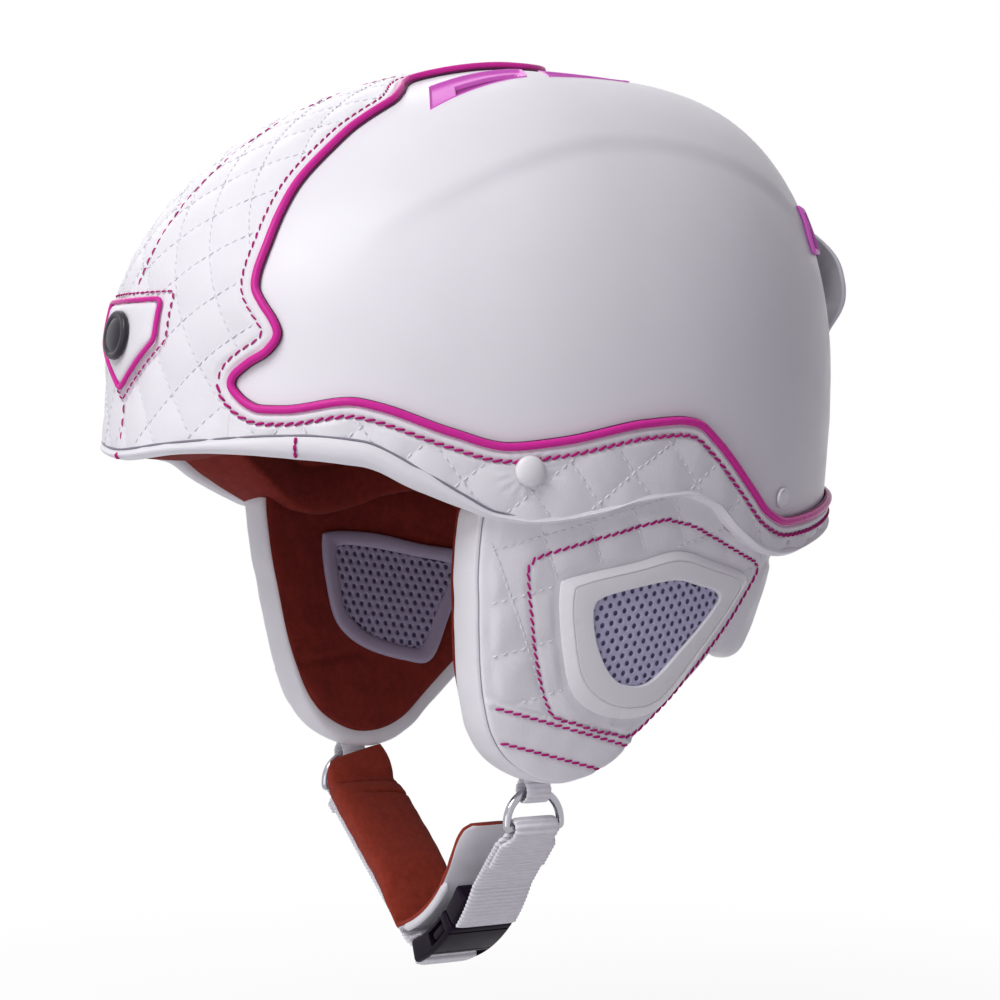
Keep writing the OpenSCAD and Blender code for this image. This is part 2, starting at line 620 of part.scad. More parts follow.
module buckle_plug() color("black") difference() {
    union() {
        bent(plug_top, plug_end, plug_in, plug_out, -buckle_w / 2 + 0.4, buckle_w / 2 - 0.4);
        bent(plug_end - 0.5, 60, buckle_r - 2, buckle_r + 2, -3.4, 3.4);
        bent(59, 61.5, buckle_r - 1.5, buckle_r + 1.5, -2.4, 2.4);
    }
    for (a = [plug_top + 2.2, plug_top + 6.6])
        bent(a, a + 2.1, plug_in - 1, plug_out + 1, -slot_half, slot_half);
}

// Spring arms of the plug, with the shoulders that stand out of the socket's windows
module buckle_arm(s) {
    color("black") {
        bent(plug_end + 0.5, 58.5, buckle_r - 2, buckle_r + 2, s > 0 ? 7.6 : -10, s > 0 ? 10 : -7.6);
        bent(50, 57, buckle_r - 1.8, buckle_r + 1.8, s > 0 ? 9 : -13.2, s > 0 ? 13.2 : -9);
    }
}
module buckle_arm_front() buckle_arm(-1);
module buckle_arm_rear() buckle_arm(1);

socket_out = buckle_r + buckle_t / 2;
socket_in = buckle_r - buckle_t / 2;
module buckle_socket() color("black") difference() {
    bent(socket_mouth, socket_end, socket_in, socket_out, -buckle_w / 2, buckle_w / 2);
    bent(socket_mouth - 1, 63.5, buckle_r - 2.8, buckle_r + 2.8, -11.6, 11.6);
    bent(49, 58.8, buckle_r - 2.6, buckle_r + 2.6, -buckle_w, buckle_w);
    bent(66, 68.8, socket_in - 1, socket_out + 1, -slot_half, slot_half);
    bent(62, socket_end + 1, socket_out - 1.4, socket_out + 1, -recess_half, recess_half);
}

// Far side: webbing from the far ring to the socket's bar, and the padded chin strap that lies on it
far_eye = [-tab_x, ring_bar_z];
far_end = bent_point(socket_end + 2.2, buckle_r - 1);
far_down = unit(far_end - far_eye);
far_up = [-far_down[1], far_down[0]];

module far_webbing() {
    start = far_eye + far_down * (loop_in + webbing_t / 2);
    bar_under = socket_out - 1.2;
    color("whitesmoke") {
        webbing_eye(-tab_x);
        strip(start, start + far_down * 6, 2 * webbing_t, ring_r - 3);
        strip(start + far_down * 5.5, far_end, webbing_t, strap_half);
        bent(66.6, socket_end + 2.8, socket_in - 0.4 - webbing_t, socket_in - 0.4, -tail_half, tail_half);
        bent(66.7, 68, socket_in - 0.6, bar_under + 0.3, -fold_half, fold_half);
        bent(66.6, socket_end + 2.8, bar_under, bar_under + webbing_t, -tail_half, tail_half);
        bent(socket_end + 1.6, socket_end + 2.7, socket_in - 0.6, bar_under + 0.3, -fold_half, fold_half);
    }
}

// The chin pad is padded on the far side, creased twice, and thins to a tongue behind the buckle
module chin_pad() {
    tongue_r = socket_in - webbing_t - 3.2;
    lift = webbing_t + 0.4;
    tongue_t = 3.4;
    pad_half = 15;
    far_run = 74;
    bend_from = 77;
    tongue_tip = 15;
    top_x = 5 - tab_x;
    top_steps = 4;
    straight_steps = 16;
    tongue_steps = 12;
    function crease_at(s) = 1 - 0.16 * exp(-pow((s - 16) / 2.4, 2)) - 0.13 * exp(-pow((s - 27) / 2.4, 2));
    function along_far(s) = far_eye + far_down * s;
    function ring(p, up, t, w) = [for (k = [0 : 13])
        let (u = spow(cos(360 * k / 14), 0.6), v = spow(sin(360 * k / 14), 0.6),
             q = p + up * (t / 2 + v * t / 2))
        [q[0], strap_y + u * w, q[1]]];
    top_rings = [for (i = [0 : top_steps])
        ring([top_x, tab_z + 1 - 7 * i / top_steps], [1, 0], 3 + 2.5 * min(i / 2, 1),
            pad_half * (0.72 + 0.2 * min(i / 2, 1)))];
    far_rings = [for (i = [0 : straight_steps])
        let (s = 6.5 + (far_run - 6.5) * i / straight_steps, end = min(i / 2, 1),
             grow = 0.6 + 0.4 * sqrt(end * (2 - end)), thin = smooth((s - 52) / 24),
             thick = chin_pad_t + (tongue_t - chin_pad_t) * thin)
        ring(along_far(s) + far_up * lift, far_up, thick * grow * crease_at(s),
            pad_half * (0.85 + 0.15 * grow))];
    tongue_rings = [for (i = [0 : tongue_steps])
        let (a = bend_from + (tongue_tip - bend_from) * i / tongue_steps, p = bent_point(a, tongue_r),
             up = [-cos(a), sin(a)], end = min((tongue_steps - i) / 2, 1),
             grow = 0.6 + 0.4 * sqrt(end * (2 - end)))
        ring(p, up, tongue_t, pad_half * grow * (1 - 0.1 * i / tongue_steps))];
    color("saddlebrown") loft(concat(top_rings, far_rings, tongue_rings));
}

outer_shell();
foam_liner();
crown_lining();
brow_pad();
leather_front_panel();
leather_rim_band();
rim_binding();
shell_piping();
badge_patch();
badge_patch_piping();
front_badge();
front_vent_left();
front_vent_right();
rear_vent_left();
rear_vent_right();
exhaust_vents();
trim_snaps();
shell_rivets();
goggle_loop_base();
goggle_loop_flap();
goggle_snap_stud();
goggle_snap_cap();
neck_pad();
ear_pad_left();
ear_pad_right();
ear_lining_left();
ear_lining_right();
ear_vent_frame_left();
ear_vent_frame_right();
ear_vent_mesh_left();
ear_vent_mesh_right();
ear_inner_frame_left();
ear_inner_frame_right();
ear_inner_mesh_left();
ear_inner_mesh_right();
ring_tab_left();
ring_tab_right();
strap_ring_left();
strap_ring_right();
near_webbing();
buckle_plug();
buckle_arm_front();
buckle_arm_rear();
far_webbing();
chin_pad();
buckle_socket();
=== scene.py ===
"""Finished looks of the ski helmet: leather trim, quilting, stitching, padding, webbing and hard parts.

Lengths in the pieces' functions are in millimetres, angles in degrees. Front is -Y, the wearer's left is +X.
"""
import math

import bmesh
import bpy
import numpy as np
from mathutils import Matrix, Vector
from mathutils.kdtree import KDTree


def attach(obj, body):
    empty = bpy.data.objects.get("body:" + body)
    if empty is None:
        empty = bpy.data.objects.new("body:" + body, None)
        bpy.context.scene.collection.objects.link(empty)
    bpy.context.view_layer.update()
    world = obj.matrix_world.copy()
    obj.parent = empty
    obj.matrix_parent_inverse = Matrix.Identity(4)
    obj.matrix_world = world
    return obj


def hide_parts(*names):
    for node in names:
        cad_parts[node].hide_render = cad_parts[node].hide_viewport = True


MM = 0.001

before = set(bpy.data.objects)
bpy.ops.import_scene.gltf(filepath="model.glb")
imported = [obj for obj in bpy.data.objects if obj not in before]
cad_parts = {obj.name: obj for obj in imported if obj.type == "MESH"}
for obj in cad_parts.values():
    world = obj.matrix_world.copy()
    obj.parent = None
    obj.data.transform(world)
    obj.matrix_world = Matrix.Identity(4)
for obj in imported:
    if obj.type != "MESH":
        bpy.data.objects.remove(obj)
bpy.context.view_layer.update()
scene = bpy.context.scene

# Dome of the shell, as in the part's source
HALF_W = 109.0
FRONT_REACH = 144.0
REAR_REACH = 136.5
CROWN_H = 111.5
EQUATOR_Z = 40.0
SKIRT_H = 185.0
DOME_Y = 6.0
FRONT_CLOSE = 1.13
REAR_CLOSE = 0.455
SIDE_CLOSE = 0.74
FRONT_POWER = 1.96
REAR_POWER = 2.2
BRIM_FLARE = 0.08
FLARE_FADE = 0.15
SHELL_WALL = 3.0
SIDE_STEP = -1.5
SIDE_FROM = 42.0
SIDE_TO = 152.0
SIDE_FADE = 25.0
CREASE_TOP = 46.0
CREASE_DROP = 19.0
CREASE_TURN = 98.0
CREASE_SPREAD = 45.0
CREASE_W = 5.0
RIM_LIFT = 2.5
LINING_OUT = -23.4
LINING_IN = -26.4
LEATHER_T = 2.0
FIT_GAP = 0.2
PIPING_R = 1.4
PANEL_GAP = 0.5
PATCH_OFF = 2.9
BOTH_SIDES = ((1, 1, 1), (-1, 1, 1))

# Spans in which points of the dome are searched for
HALVINGS = 26
RAY_SPAN = (40.0, 190.0)
HEIGHT_SPAN = (60.0, 170.0)
SEAT_SPAN = (-9.0, 12.0)
SLOPE_STEP = 0.02

# Heights by direction (0 front, 90 side, 180 back) and half widths by angle over the brow
RIM = [(-17, 12.6), (0, 10), (17, 12.6), (40, 15), (49, 13.2), (58, 3.3), (64, -5), (69, -11),
       (75, -13), (84, -10), (91, -5.7), (97, -4.1), (103, -7.6), (108, -16), (116, -24.6),
       (122, -26.2), (135, -22.5), (155, -14.3), (180, -8), (205, -14.3)]
PIPING = [(27, 33.7), (30, 27.5), (33, 24.8), (37, 24.6), (47, 27.4), (51, 25.7), (62, 16.8), (70, 12),
          (77, 13.6), (91, 20), (96, 21), (99, 20), (102, 15), (111, -3.4), (116, -12), (122, -15.6),
          (130, -14.5), (155, -6.4), (180, -1), (205, -6.4)]
PANEL = [(-12, 48.6), (-3.3, 48.3), (-1.9, 48.8), (0.4, 53.2), (2.7, 59.3), (4.9, 61.5), (7, 59.7),
         (9.6, 55.6), (12.2, 52), (15, 50.9), (19, 50.2), (25.5, 47.8), (32, 45.2), (40.5, 43.2),
         (47, 40.7), (57, 37.6), (61, 32), (64.5, 24.05), (68, 19.24), (72, 18.5), (92, 18.5),
         (96, 15.9), (99, 10.4), (100.5, 3.7)]
PANEL_TOP = 100.5
PANEL_LOW = -11.0
BAND_START = 27.8


def spow(v, e):
    return np.sign(v) * np.abs(v) ** e


def smooth(v):
    u = np.clip(v, 0, 1)
    return u * u * (3 - 2 * u)


def curve_through(points):
    """A smooth function through points that doesn't swing past them."""
    x, y = (np.array(c, float) for c in zip(*points))
    h, d = np.diff(x), np.diff(y) / np.diff(x)
    level_off = d[1:] * d[:-1] <= 0
    inner = 2 * d[1:] * d[:-1] / np.where(level_off, 1, d[1:] + d[:-1])
    m = np.concatenate([[d[0]], np.where(level_off, 0, inner), [d[-1]]])

    def at(v):
        v = np.clip(np.asarray(v, float), x[0], x[-1])
        i = np.clip(np.searchsorted(x, v) - 1, 0, len(h) - 1)
        u = (v - x[i]) / h[i]
        return (y[i] * (1 + 2 * u) * (1 - u) ** 2 + m[i] * h[i] * u * (1 - u) ** 2
                + y[i + 1] * u * u * (3 - 2 * u) + m[i + 1] * h[i] * u * u * (u - 1))
    return at


def refined(p, count, wrap=False):
    """More points between the given ones along the first axis, on smooth curves."""
    p = np.asarray(p, float)
    if wrap:
        four = [np.roll(p, k, 0) for k in (1, 0, -1, -2)]
    else:
        longer = np.concatenate([2 * p[:1] - p[1:2], p, 2 * p[-1:] - p[-2:-1]])
        four = [longer[:-3], longer[1:-2], longer[2:-1], longer[3:]]
    a, b, c, d = (v[:, None] for v in four)
    u = (np.arange(count) / count).reshape(1, -1, *[1] * (p.ndim - 1))
    more = b + 0.5 * ((c - a) * u + (2 * a - 5 * b + 4 * c - d) * u * u + (3 * b - a - 3 * c + d) * u ** 3)
    more = more.reshape(-1, *p.shape[1:])
    return more if wrap else np.concatenate([more, p[-1:]])


def finer(rings, by_row, by_col):
    """A grid of rings with more rows and more points round each."""
    return np.swapaxes(refined(np.swapaxes(refined(rings, by_row), 0, 1), by_col, True), 0, 1)


def ripple(u, v):
    """Slow uneven waves between -1 and 1, for puckers and folds."""
    first = np.sin(1.7 * u + 1.3 * np.sin(0.9 * v))
    return (first + np.sin(0.63 * u - 1.1 * v + 2) + np.sin(1.9 * v + 0.37 * u)) / 3


def circle(sides):
    """Angles once round, evenly spaced."""
    return np.linspace(0, 2 * math.pi, sides, endpoint=False)


def full_turn(count):
    """Directions once round the helmet, evenly spaced."""
    return np.linspace(0, 360, count, endpoint=False)


rim_at = curve_through(RIM)
piping_at = curve_through(PIPING)
panel_at = curve_through(PANEL)


def turned(a):
    a = np.asarray(a, float) % 360
    return np.minimum(a, 360 - a)


def reaches(s, c, ahead, off):
    """The dome's half width, reach and roundness where the level's sine is s and its cosine c."""
    flare = 1 - BRIM_FLARE * np.minimum(s, 0) * smooth(-s / FLARE_FADE)
    front = (FRONT_REACH + off) * np.where(s < 0, flare, c ** FRONT_CLOSE)
    reach = np.where(ahead, front, (REAR_REACH + off) * c ** REAR_CLOSE)
    return (HALF_W + off) * c ** SIDE_CLOSE, reach, np.where(ahead, FRONT_POWER, REAR_POWER)


def dome(a, t, off=0.0):
    """Points of the dome at direction a, level t and an offset out of the shell's surface."""
    a, t, off = np.broadcast_arrays(np.radians(a), np.radians(t), off)
    ca, sa, c, s = np.cos(a), np.sin(a), np.maximum(np.cos(t), 0), np.sin(t)
    wide, reach, n = reaches(s, c, ca > 0, off)
    z = EQUATOR_Z + np.where(s > 0, CROWN_H + off, SKIRT_H) * s
    return np.stack([wide * spow(sa, 2 / n), DOME_Y - reach * spow(ca, 2 / n), z], -1)


def level_sine(z, off):
    return np.clip((z - EQUATOR_Z) / np.where(z > EQUATOR_Z, CROWN_H + off, SKIRT_H), -1, 1)


def level(z, off=0.0):
    return np.degrees(np.arcsin(level_sine(z, off)))


def at_height(a, z, off=0.0):
    z = np.asarray(z, float)
    return dome(a, level(z, off), off)


def girth(x, y, z, off):
    """0 on the dome's axis, 1 on its surface at that offset."""
    s = level_sine(z, off)
    wide, reach, n = reaches(s, np.sqrt(np.maximum(1 - s * s, 1e-6)), y < DOME_Y, off)
    return (np.abs(x) / wide) ** n + (np.abs(y - DOME_Y) / reach) ** n


def beyond(x, y, z, off):
    return (z >= EQUATOR_Z + CROWN_H + off) | (girth(x, y, z, off) > 1)


def dome_normals(p, off=0.0):
    """Directions straight out of the dome at points that lie at that offset."""
    slopes = []
    for step in np.eye(3) * SLOPE_STEP:
        ahead, behind = np.moveaxis(p + step, -1, 0), np.moveaxis(p - step, -1, 0)
        slopes.append(girth(*ahead, off) - girth(*behind, off))
    return unit(np.stack(slopes, -1) + np.array([0, 0, 1e-6]))


def halved(shape, span, past):
    """Where past turns true between the ends of a span, for an array of that shape."""
    lo, hi = (np.full(shape, end) for end in span)
    for _ in range(HALVINGS):
        mid = (lo + hi) / 2
        out = past(mid)
        lo, hi = np.where(out, lo, mid), np.where(out, mid, hi)
    return (lo + hi) / 2


def brow(x, b, off=0.0):
    """Where a ray at angle b over the brow, x to the side, leaves the dome."""
    x, b, off = np.broadcast_arrays(np.asarray(x, float), np.radians(b), off)

    def spot(r):
        return x, DOME_Y - r * np.cos(b), EQUATOR_Z + r * np.sin(b)
    return np.stack(spot(halved(x.shape, RAY_SPAN, lambda r: beyond(*spot(r), off))), -1)


def over(x, y, off=0.0):
    """The point of the dome over a place on the ground."""
    x, y, off = np.broadcast_arrays(np.asarray(x, float), np.asarray(y, float), off)
    return np.stack([x, y, halved(x.shape, HEIGHT_SPAN, lambda z: beyond(x, y, z, off))], -1)


def crease(a):
    """Level of the shell's soft crease."""
    return CREASE_TOP - CREASE_DROP * ((turned(a) - CREASE_TURN) / CREASE_SPREAD) ** 2


def side_step(a, t):
    """How far the side panels are set into the shell below their crease."""
    sides = smooth((turned(a) - SIDE_FROM) / SIDE_FADE) * smooth((SIDE_TO - turned(a)) / SIDE_FADE)
    return SIDE_STEP * sides * smooth((crease(a) + CREASE_W / 2 - t) / CREASE_W)


def bearing(p):
    """Direction of points on or near the dome, from the front."""
    ahead = p[:, 1] < DOME_Y
    c = np.maximum(np.cos(np.radians(level(p[:, 2]))), 0.05)
    s = np.clip(np.abs(p[:, 0]) / ((HALF_W + 1) * c ** SIDE_CLOSE), 0, 1)
    a = np.degrees(np.arcsin(s ** (np.where(ahead, FRONT_POWER, REAR_POWER) / 2)))
    return np.where(ahead, a, 180 - a)


def seated(p, off):
    """Points moved straight out or in, to lie at that offset from the dome."""
    own = halved(len(p), SEAT_SPAN, lambda o: ~beyond(*p.T, o))
    return p + dome_normals(p) * (off - own)[:, None]


# Mesh helpers

AXIS_R = 0.01
LEATHER_SHARP = 55

# Place along a stitch, rise and thickness
STRAND = ((-0.5, -0.5, 0.3), (-0.34, 0.1, 0.9), (0.0, 0.25, 1.0), (0.34, 0.1, 0.9), (0.5, -0.5, 0.3))
STRAND_SIDES = 6
STRAND_LIFT = 0.1


def mesh_object(name, points, faces, finish):
    mesh = bpy.data.meshes.new(name)
    mesh.from_pydata((np.asarray(points).reshape(-1, 3) * MM).tolist(), [], faces)
    mesh.validate()
    mesh.materials.append(finish)
    made = bpy.data.objects.new(name, mesh)
    scene.collection.objects.link(made)
    round_faces(made)
    return made


def round_faces(made, sharp=None):
    """Smooth shading, broken at edges sharper than an angle."""
    made.data.polygons.foreach_set("use_smooth", [True] * len(made.data.polygons))
    if sharp:
        made.data.set_sharp_from_angle(angle=math.radians(sharp))


def values(items, name, width=3, kind=float):
    """One property of a mesh's items as an array."""
    out = np.zeros(len(items) * width, kind)
    items.foreach_get(name, out)
    return out.reshape(-1, width) if width > 1 else out


def second_finish(made, finish, where):
    """Gives a piece's first faces another material where a mask holds."""
    made.data.materials.append(finish)
    index = np.zeros(len(made.data.polygons), int)
    index[: where.size] = where.reshape(-1)
    made.data.polygons.foreach_set("material_index", index)


def grid_faces(rows, cols, wrap=False, start=0, flip=False):
    faces = []
    for i in range(rows - 1):
        for j in range(cols if wrap else cols - 1):
            q = (j + 1) % cols
            low, high = start + i * cols, start + (i + 1) * cols
            quad = [low + j, low + q, high + q, high + j]
            faces.append(quad[::-1] if flip else quad)
    return faces


def outward_normals(grid):
    """Unit normals of a grid of points, row by row upwards and column by column to the left."""
    du, dv = np.gradient(grid, axis=1), np.gradient(grid, axis=0)
    n = np.cross(du, dv)
    return n / np.maximum(np.linalg.norm(n, axis=-1, keepdims=True), 1e-9)


def slab(name, outer, inner, finish):
    """Closed piece between an outer and an inner grid of points."""
    rows, cols = outer.shape[:2]
    k = rows * cols
    spots = np.arange(k).reshape(rows, cols)
    edge = np.concatenate([spots[0], spots[1:, -1], spots[-1, -2::-1], spots[-2:0:-1, 0]]).tolist()
    faces = grid_faces(rows, cols) + grid_faces(rows, cols, start=k, flip=True)
    faces += [[b, a, k + a, k + b] for a, b in zip(edge, edge[1:] + edge[:1])]
    return mesh_object(name, [outer, inner], faces, finish)


def loft(name, rings, finish, closed=False):
    """Closed piece through like rings, with flat ends unless the row closes on itself."""
    rings = np.asarray(rings, float)
    m, n = rings.shape[:2]
    faces = grid_faces(m, n, True)
    if closed:
        faces += [[(m - 1) * n + j, (m - 1) * n + (j + 1) % n, (j + 1) % n, j] for j in range(n)]
    else:
        faces += [list(range(n))[::-1], [(m - 1) * n + j for j in range(n)]]
    made = mesh_object(name, rings, faces, finish)
    face_out(made)
    return made


def face_out(made):
    work = bmesh.new()
    work.from_mesh(made.data)
    bmesh.ops.recalc_face_normals(work, faces=work.faces)
    work.to_mesh(made.data)
    work.free()


def unit(v):
    return v / np.maximum(np.linalg.norm(v, axis=-1, keepdims=True), 1e-9)


def run_along(path):
    """The way along a path up to each of its points."""
    return np.concatenate([[0], np.cumsum(np.linalg.norm(np.diff(path, axis=0), axis=1))])


def between(at, s, p):
    """Points at other places along a path that has point p at place s."""
    return np.stack([np.interp(at, s, column) for column in p.T], -1)


def resampled(path, step, closed=False):
    """Points along a path, evenly spaced."""
    p = np.vstack([path, path[:1]]) if closed else np.asarray(path)
    s = run_along(p)
    at = np.linspace(0, s[-1], max(int(round(s[-1] / step)), 2) + 1)
    return between(at[:-1] if closed else at, s, p)


def rounded(path, passes, closed=False):
    """A path with its corners softened."""
    p = np.array(path)
    for _ in range(passes):
        if closed:
            p = 0.5 * p + 0.25 * (np.roll(p, 1, 0) + np.roll(p, -1, 0))
        else:
            p[1:-1] = 0.5 * p[1:-1] + 0.25 * (p[:-2] + p[2:])
    return p


def along(path, closed=False):
    if closed:
        return unit(np.roll(path, -1, 0) - np.roll(path, 1, 0))
    return unit(np.gradient(path, axis=0))


def tube(name, path, outward, r, sides, finish, closed=False):
    """Round cord along a path whose points each carry an outward direction."""
    t = along(path, closed)
    u = unit(outward - np.sum(outward * t, -1, keepdims=True) * t)
    v = np.cross(t, u)
    w = circle(sides)[None, :, None]
    r = np.broadcast_to(np.asarray(r, float), len(path))[:, None, None]
    rings = path[:, None] + r * (np.cos(w) * u[:, None] + np.sin(w) * v[:, None])
    return loft(name, rings, finish, closed)


def lathe(name, profile, finish, place, sharp=None, segments=48):
    """Turned piece: profile is (radius, height) pairs from the axis below to the axis above."""
    radii = [(max(r, AXIS_R), h) for r, h in profile]
    w = circle(segments)
    made = loft(name, [[(r * math.cos(k), r * math.sin(k), h) for k in w] for r, h in radii], finish)
    made.data.transform(place)
    round_faces(made, sharp)
    return made


def frame_at(origin, normal):
    """Matrix that stands a turned piece on a point, in metres."""
    z = Vector(normal).normalized()
    return Matrix.Translation(Vector(origin) * MM) @ z.to_track_quat("Z", "Y").to_matrix().to_4x4()


def joined(name, pieces):
    """One object from several."""
    first = pieces[0]
    with bpy.context.temp_override(active_object=first, object=first, selected_editable_objects=pieces):
        bpy.ops.object.join()
    first.name = first.data.name = name
    return first


def mirrored(made, name):
    """A copy of a piece for the wearer's right."""
    copy = made.copy()
    copy.data = made.data.copy()
    copy.name = copy.data.name = name
    scene.collection.objects.link(copy)
    copy.data.transform(Matrix.Scale(-1, 4, (1, 0, 0)))
    copy.data.flip_normals()
    return copy


def stitch_rows(name, rows, finish, length=3.0, gap=1.0, r=0.42, slant=8.0):
    """Thread along rows of points with normals: short arched strands that dip in at both ends."""
    w = circle(STRAND_SIDES)[:, None]
    lean = math.radians(slant)
    points, faces = [], []
    for path, normals in rows:
        s = run_along(path)
        if s[-1] < length:
            continue
        count = int(s[-1] / (length + gap))
        mids = (np.arange(count) + 0.5) * s[-1] / max(count, 1)
        n = unit(between(mids, s, normals))
        t = unit(between(mids + 0.5, s, path) - between(mids - 0.5, s, path))
        n = unit(n - np.sum(n * t, -1, keepdims=True) * t)
        t = math.cos(lean) * t + math.sin(lean) * np.cross(n, t)
        for ci, ti, ni, si in zip(between(mids, s, path), t, n, np.cross(n, t)):
            start = len(points)
            for place, rise, thick in STRAND:
                mid = ci + ti * place * length + ni * (rise * r * 2 + STRAND_LIFT)
                points.extend(mid + thick * r * (np.cos(w) * ni + np.sin(w) * si))
            faces += grid_faces(len(STRAND), STRAND_SIDES, True, start)
            ring = list(range(start, start + STRAND_SIDES))
            faces += [ring[::-1], [k + len(points) - start - STRAND_SIDES for k in ring]]
    return mesh_object(name, points, faces, finish)


def sew(name, rows, finish, *size, body="helmet"):
    """Rows of thread that ride on a body."""
    slot = "piping_pink" if finish is PINK_THREAD else "leather_white"
    return finish_piece(stitch_rows(name, rows, finish, *size), slot, body=body)


# Materials


def material(name, colour, roughness, **sockets):
    made = bpy.data.materials.new(name)
    made.use_nodes = True
    shader = made.node_tree.nodes["Principled BSDF"]
    shader.inputs["Base Color"].default_value = (*colour, 1)
    shader.inputs["Roughness"].default_value = roughness
    for key, value in sockets.items():
        shader.inputs[key.replace("_", " ")].default_value = value
    return made


def node(made, kind, **values):
    n = made.node_tree.nodes.new(kind)
    for key, value in values.items():
        if key in n.inputs:
            n.inputs[key].default_value = value
        else:
            setattr(n, key, value)
    return n


def link(made, a, out, b, socket):
    made.node_tree.links.new(a.outputs[out], b.inputs[socket])


def texture(made, kind, scale, **values):
    """A procedural texture in object coordinates, scale in features per metre."""
    coords = node(made, "ShaderNodeTexCoord")
    tex = node(made, kind, Scale=scale, **values)
    link(made, coords, "Object", tex, "Vector")
    return tex


def bump(made, tex, out, strength, distance, before=None):
    b = node(made, "ShaderNodeBump", Strength=strength, Distance=distance)
    link(made, tex, out, b, "Height")
    if before:
        link(made, before, "Normal", b, "Normal")
    link(made, b, "Normal", made.node_tree.nodes["Principled BSDF"], "Normal")
    return b


def vary(made, tex, out, dark, light, low=0.3, high=0.7, socket="Base Color"):
    """Colour, or roughness as grey, that drifts with a texture."""
    ramp = node(made, "ShaderNodeValToRGB")
    ramp.color_ramp.elements[0].position, ramp.color_ramp.elements[1].position = low, high
    ramp.color_ramp.elements[0].color = (*dark, 1)
    ramp.color_ramp.elements[1].color = (*light, 1)
    link(made, tex, out, ramp, "Fac")
    link(made, ramp, "Color", made.node_tree.nodes["Principled BSDF"], socket)


def leather(name, colour, roughness, grain=1.0, ior=1.33):
    made = material(name, colour, roughness, IOR=ior)
    pores = texture(made, "ShaderNodeTexVoronoi", 620.0, feature="DISTANCE_TO_EDGE")
    creases = texture(made, "ShaderNodeTexNoise", 130.0, Detail=6.0, Roughness=0.62)
    first = bump(made, creases, "Fac", 0.22 * grain, 0.0012)
    bump(made, pores, "Distance", 0.16 * grain, 0.0003, first)
    drift = texture(made, "ShaderNodeTexNoise", 26.0, Detail=4.0)
    vary(made, drift, "Fac", tuple(c * 0.95 for c in colour), tuple(min(c * 1.03, 1) for c in colour))
    shine = texture(made, "ShaderNodeTexNoise", 75.0, Detail=3.0)
    vary(made, shine, "Fac", (roughness - 0.06,) * 3, (roughness + 0.08,) * 3, socket="Roughness")
    return made


def plastic(name, colour, roughness, texture_depth=0.05, **sockets):
    made = material(name, colour, roughness, **sockets)
    fine = texture(made, "ShaderNodeTexNoise", 1400.0, Detail=2.0)
    bump(made, fine, "Fac", texture_depth, 0.0002)
    drift = texture(made, "ShaderNodeTexNoise", 18.0, Detail=3.0)
    vary(made, drift, "Fac", tuple(c * 0.97 for c in colour), tuple(min(c * 1.02, 1) for c in colour))
    wear = texture(made, "ShaderNodeTexNoise", 90.0, Detail=5.0)
    vary(made, wear, "Fac", (max(roughness - 0.05, 0.02),) * 3, (roughness + 0.05,) * 3, socket="Roughness")
    return made


def fabric(name, colour, roughness, weave=1500.0, nap=0.5, mottle=0.28):
    made = material(name, colour, roughness, Sheen_Weight=0.06, Sheen_Roughness=0.5, IOR=1.15)
    threads = texture(made, "ShaderNodeTexNoise", weave, Detail=3.0, Roughness=0.7)
    folds = texture(made, "ShaderNodeTexNoise", 90.0, Detail=5.0)
    first = bump(made, folds, "Fac", 1.2 * mottle, 0.002)
    bump(made, threads, "Fac", nap, 0.0006, first)
    drift = texture(made, "ShaderNodeTexNoise", 300.0, Detail=6.0, Roughness=0.75)
    vary(made, drift, "Fac", tuple(c * (1 - mottle) for c in colour),
         tuple(min(c * (1 + 0.7 * mottle), 1) for c in colour), 0.25, 0.75)
    return made


WHITE = (0.81, 0.80, 0.84)
SHELL = plastic("shell_white", (0.83, 0.82, 0.86), 0.34, 0.03, IOR=1.3)
LEATHER = leather("leather_white", WHITE, 0.46)
SMOOTH_LEATHER = leather("leather_smooth", (0.80, 0.79, 0.83), 0.42, 0.6)
PINK = leather("piping_pink", (0.66, 0.028, 0.33), 0.27, 0.4, 1.22)
# Dark pink for a thin cord along the shell side of the piping: painted shadow where the piping meets the
# shell.
PIPING_SHADOW_PINK = leather("piping_painted_shadow", (0.12, 0.006, 0.07), 0.5, 0.4)
PINK_THREAD = fabric("thread_pink", (0.48, 0.016, 0.21), 0.6, 4000.0, 0.3)
WHITE_THREAD = fabric("thread_white", (0.80, 0.79, 0.83), 0.7, 4000.0, 0.3, 0.05)
VENT = plastic("vent_pink", (0.70, 0.12, 0.60), 0.42)
# Dark pink on the floors of the vents' slots and openings: painted shade of openings that go through.
VENT_SLOT_SHADE = plastic("vent_slot_painted_shade", (0.30, 0.02, 0.24), 0.5)
RUST = fabric("chin_rust", (0.32, 0.046, 0.027), 0.92)
# The linings inside the helmet use a darker copy of the chin pad's rust: painted shade for the dark interior.
LINING_RUST_PAINTED_SHADE = fabric("lining_rust", (0.21, 0.026, 0.019), 0.92)
WEBBING = fabric("webbing_white", (0.80, 0.79, 0.83), 0.75, 2600.0, 0.25, 0.05)
MESH = fabric("mesh_lilac", (0.50, 0.48, 0.66), 0.7, 2400.0, 0.3, 0.12)
MESH_INNER = fabric("mesh_inner", (0.36, 0.32, 0.46), 0.7, 2400.0, 0.3, 0.12)
MESH_BACK = fabric("mesh_back", (0.13, 0.12, 0.20), 0.9, 1200.0, 0.4)
FRAME_WHITE = plastic("frame_white", (0.82, 0.81, 0.84), 0.3, IOR=1.38)
FRAME_GREY = plastic("frame_grey", (0.36, 0.31, 0.43), 0.55)
BLACK = plastic("buckle_black", (0.010, 0.006, 0.014), 0.42, 0.08, IOR=1.14)
BADGE = plastic("badge_dark", (0.016, 0.012, 0.022), 0.34, Specular_IOR_Level=0.35)
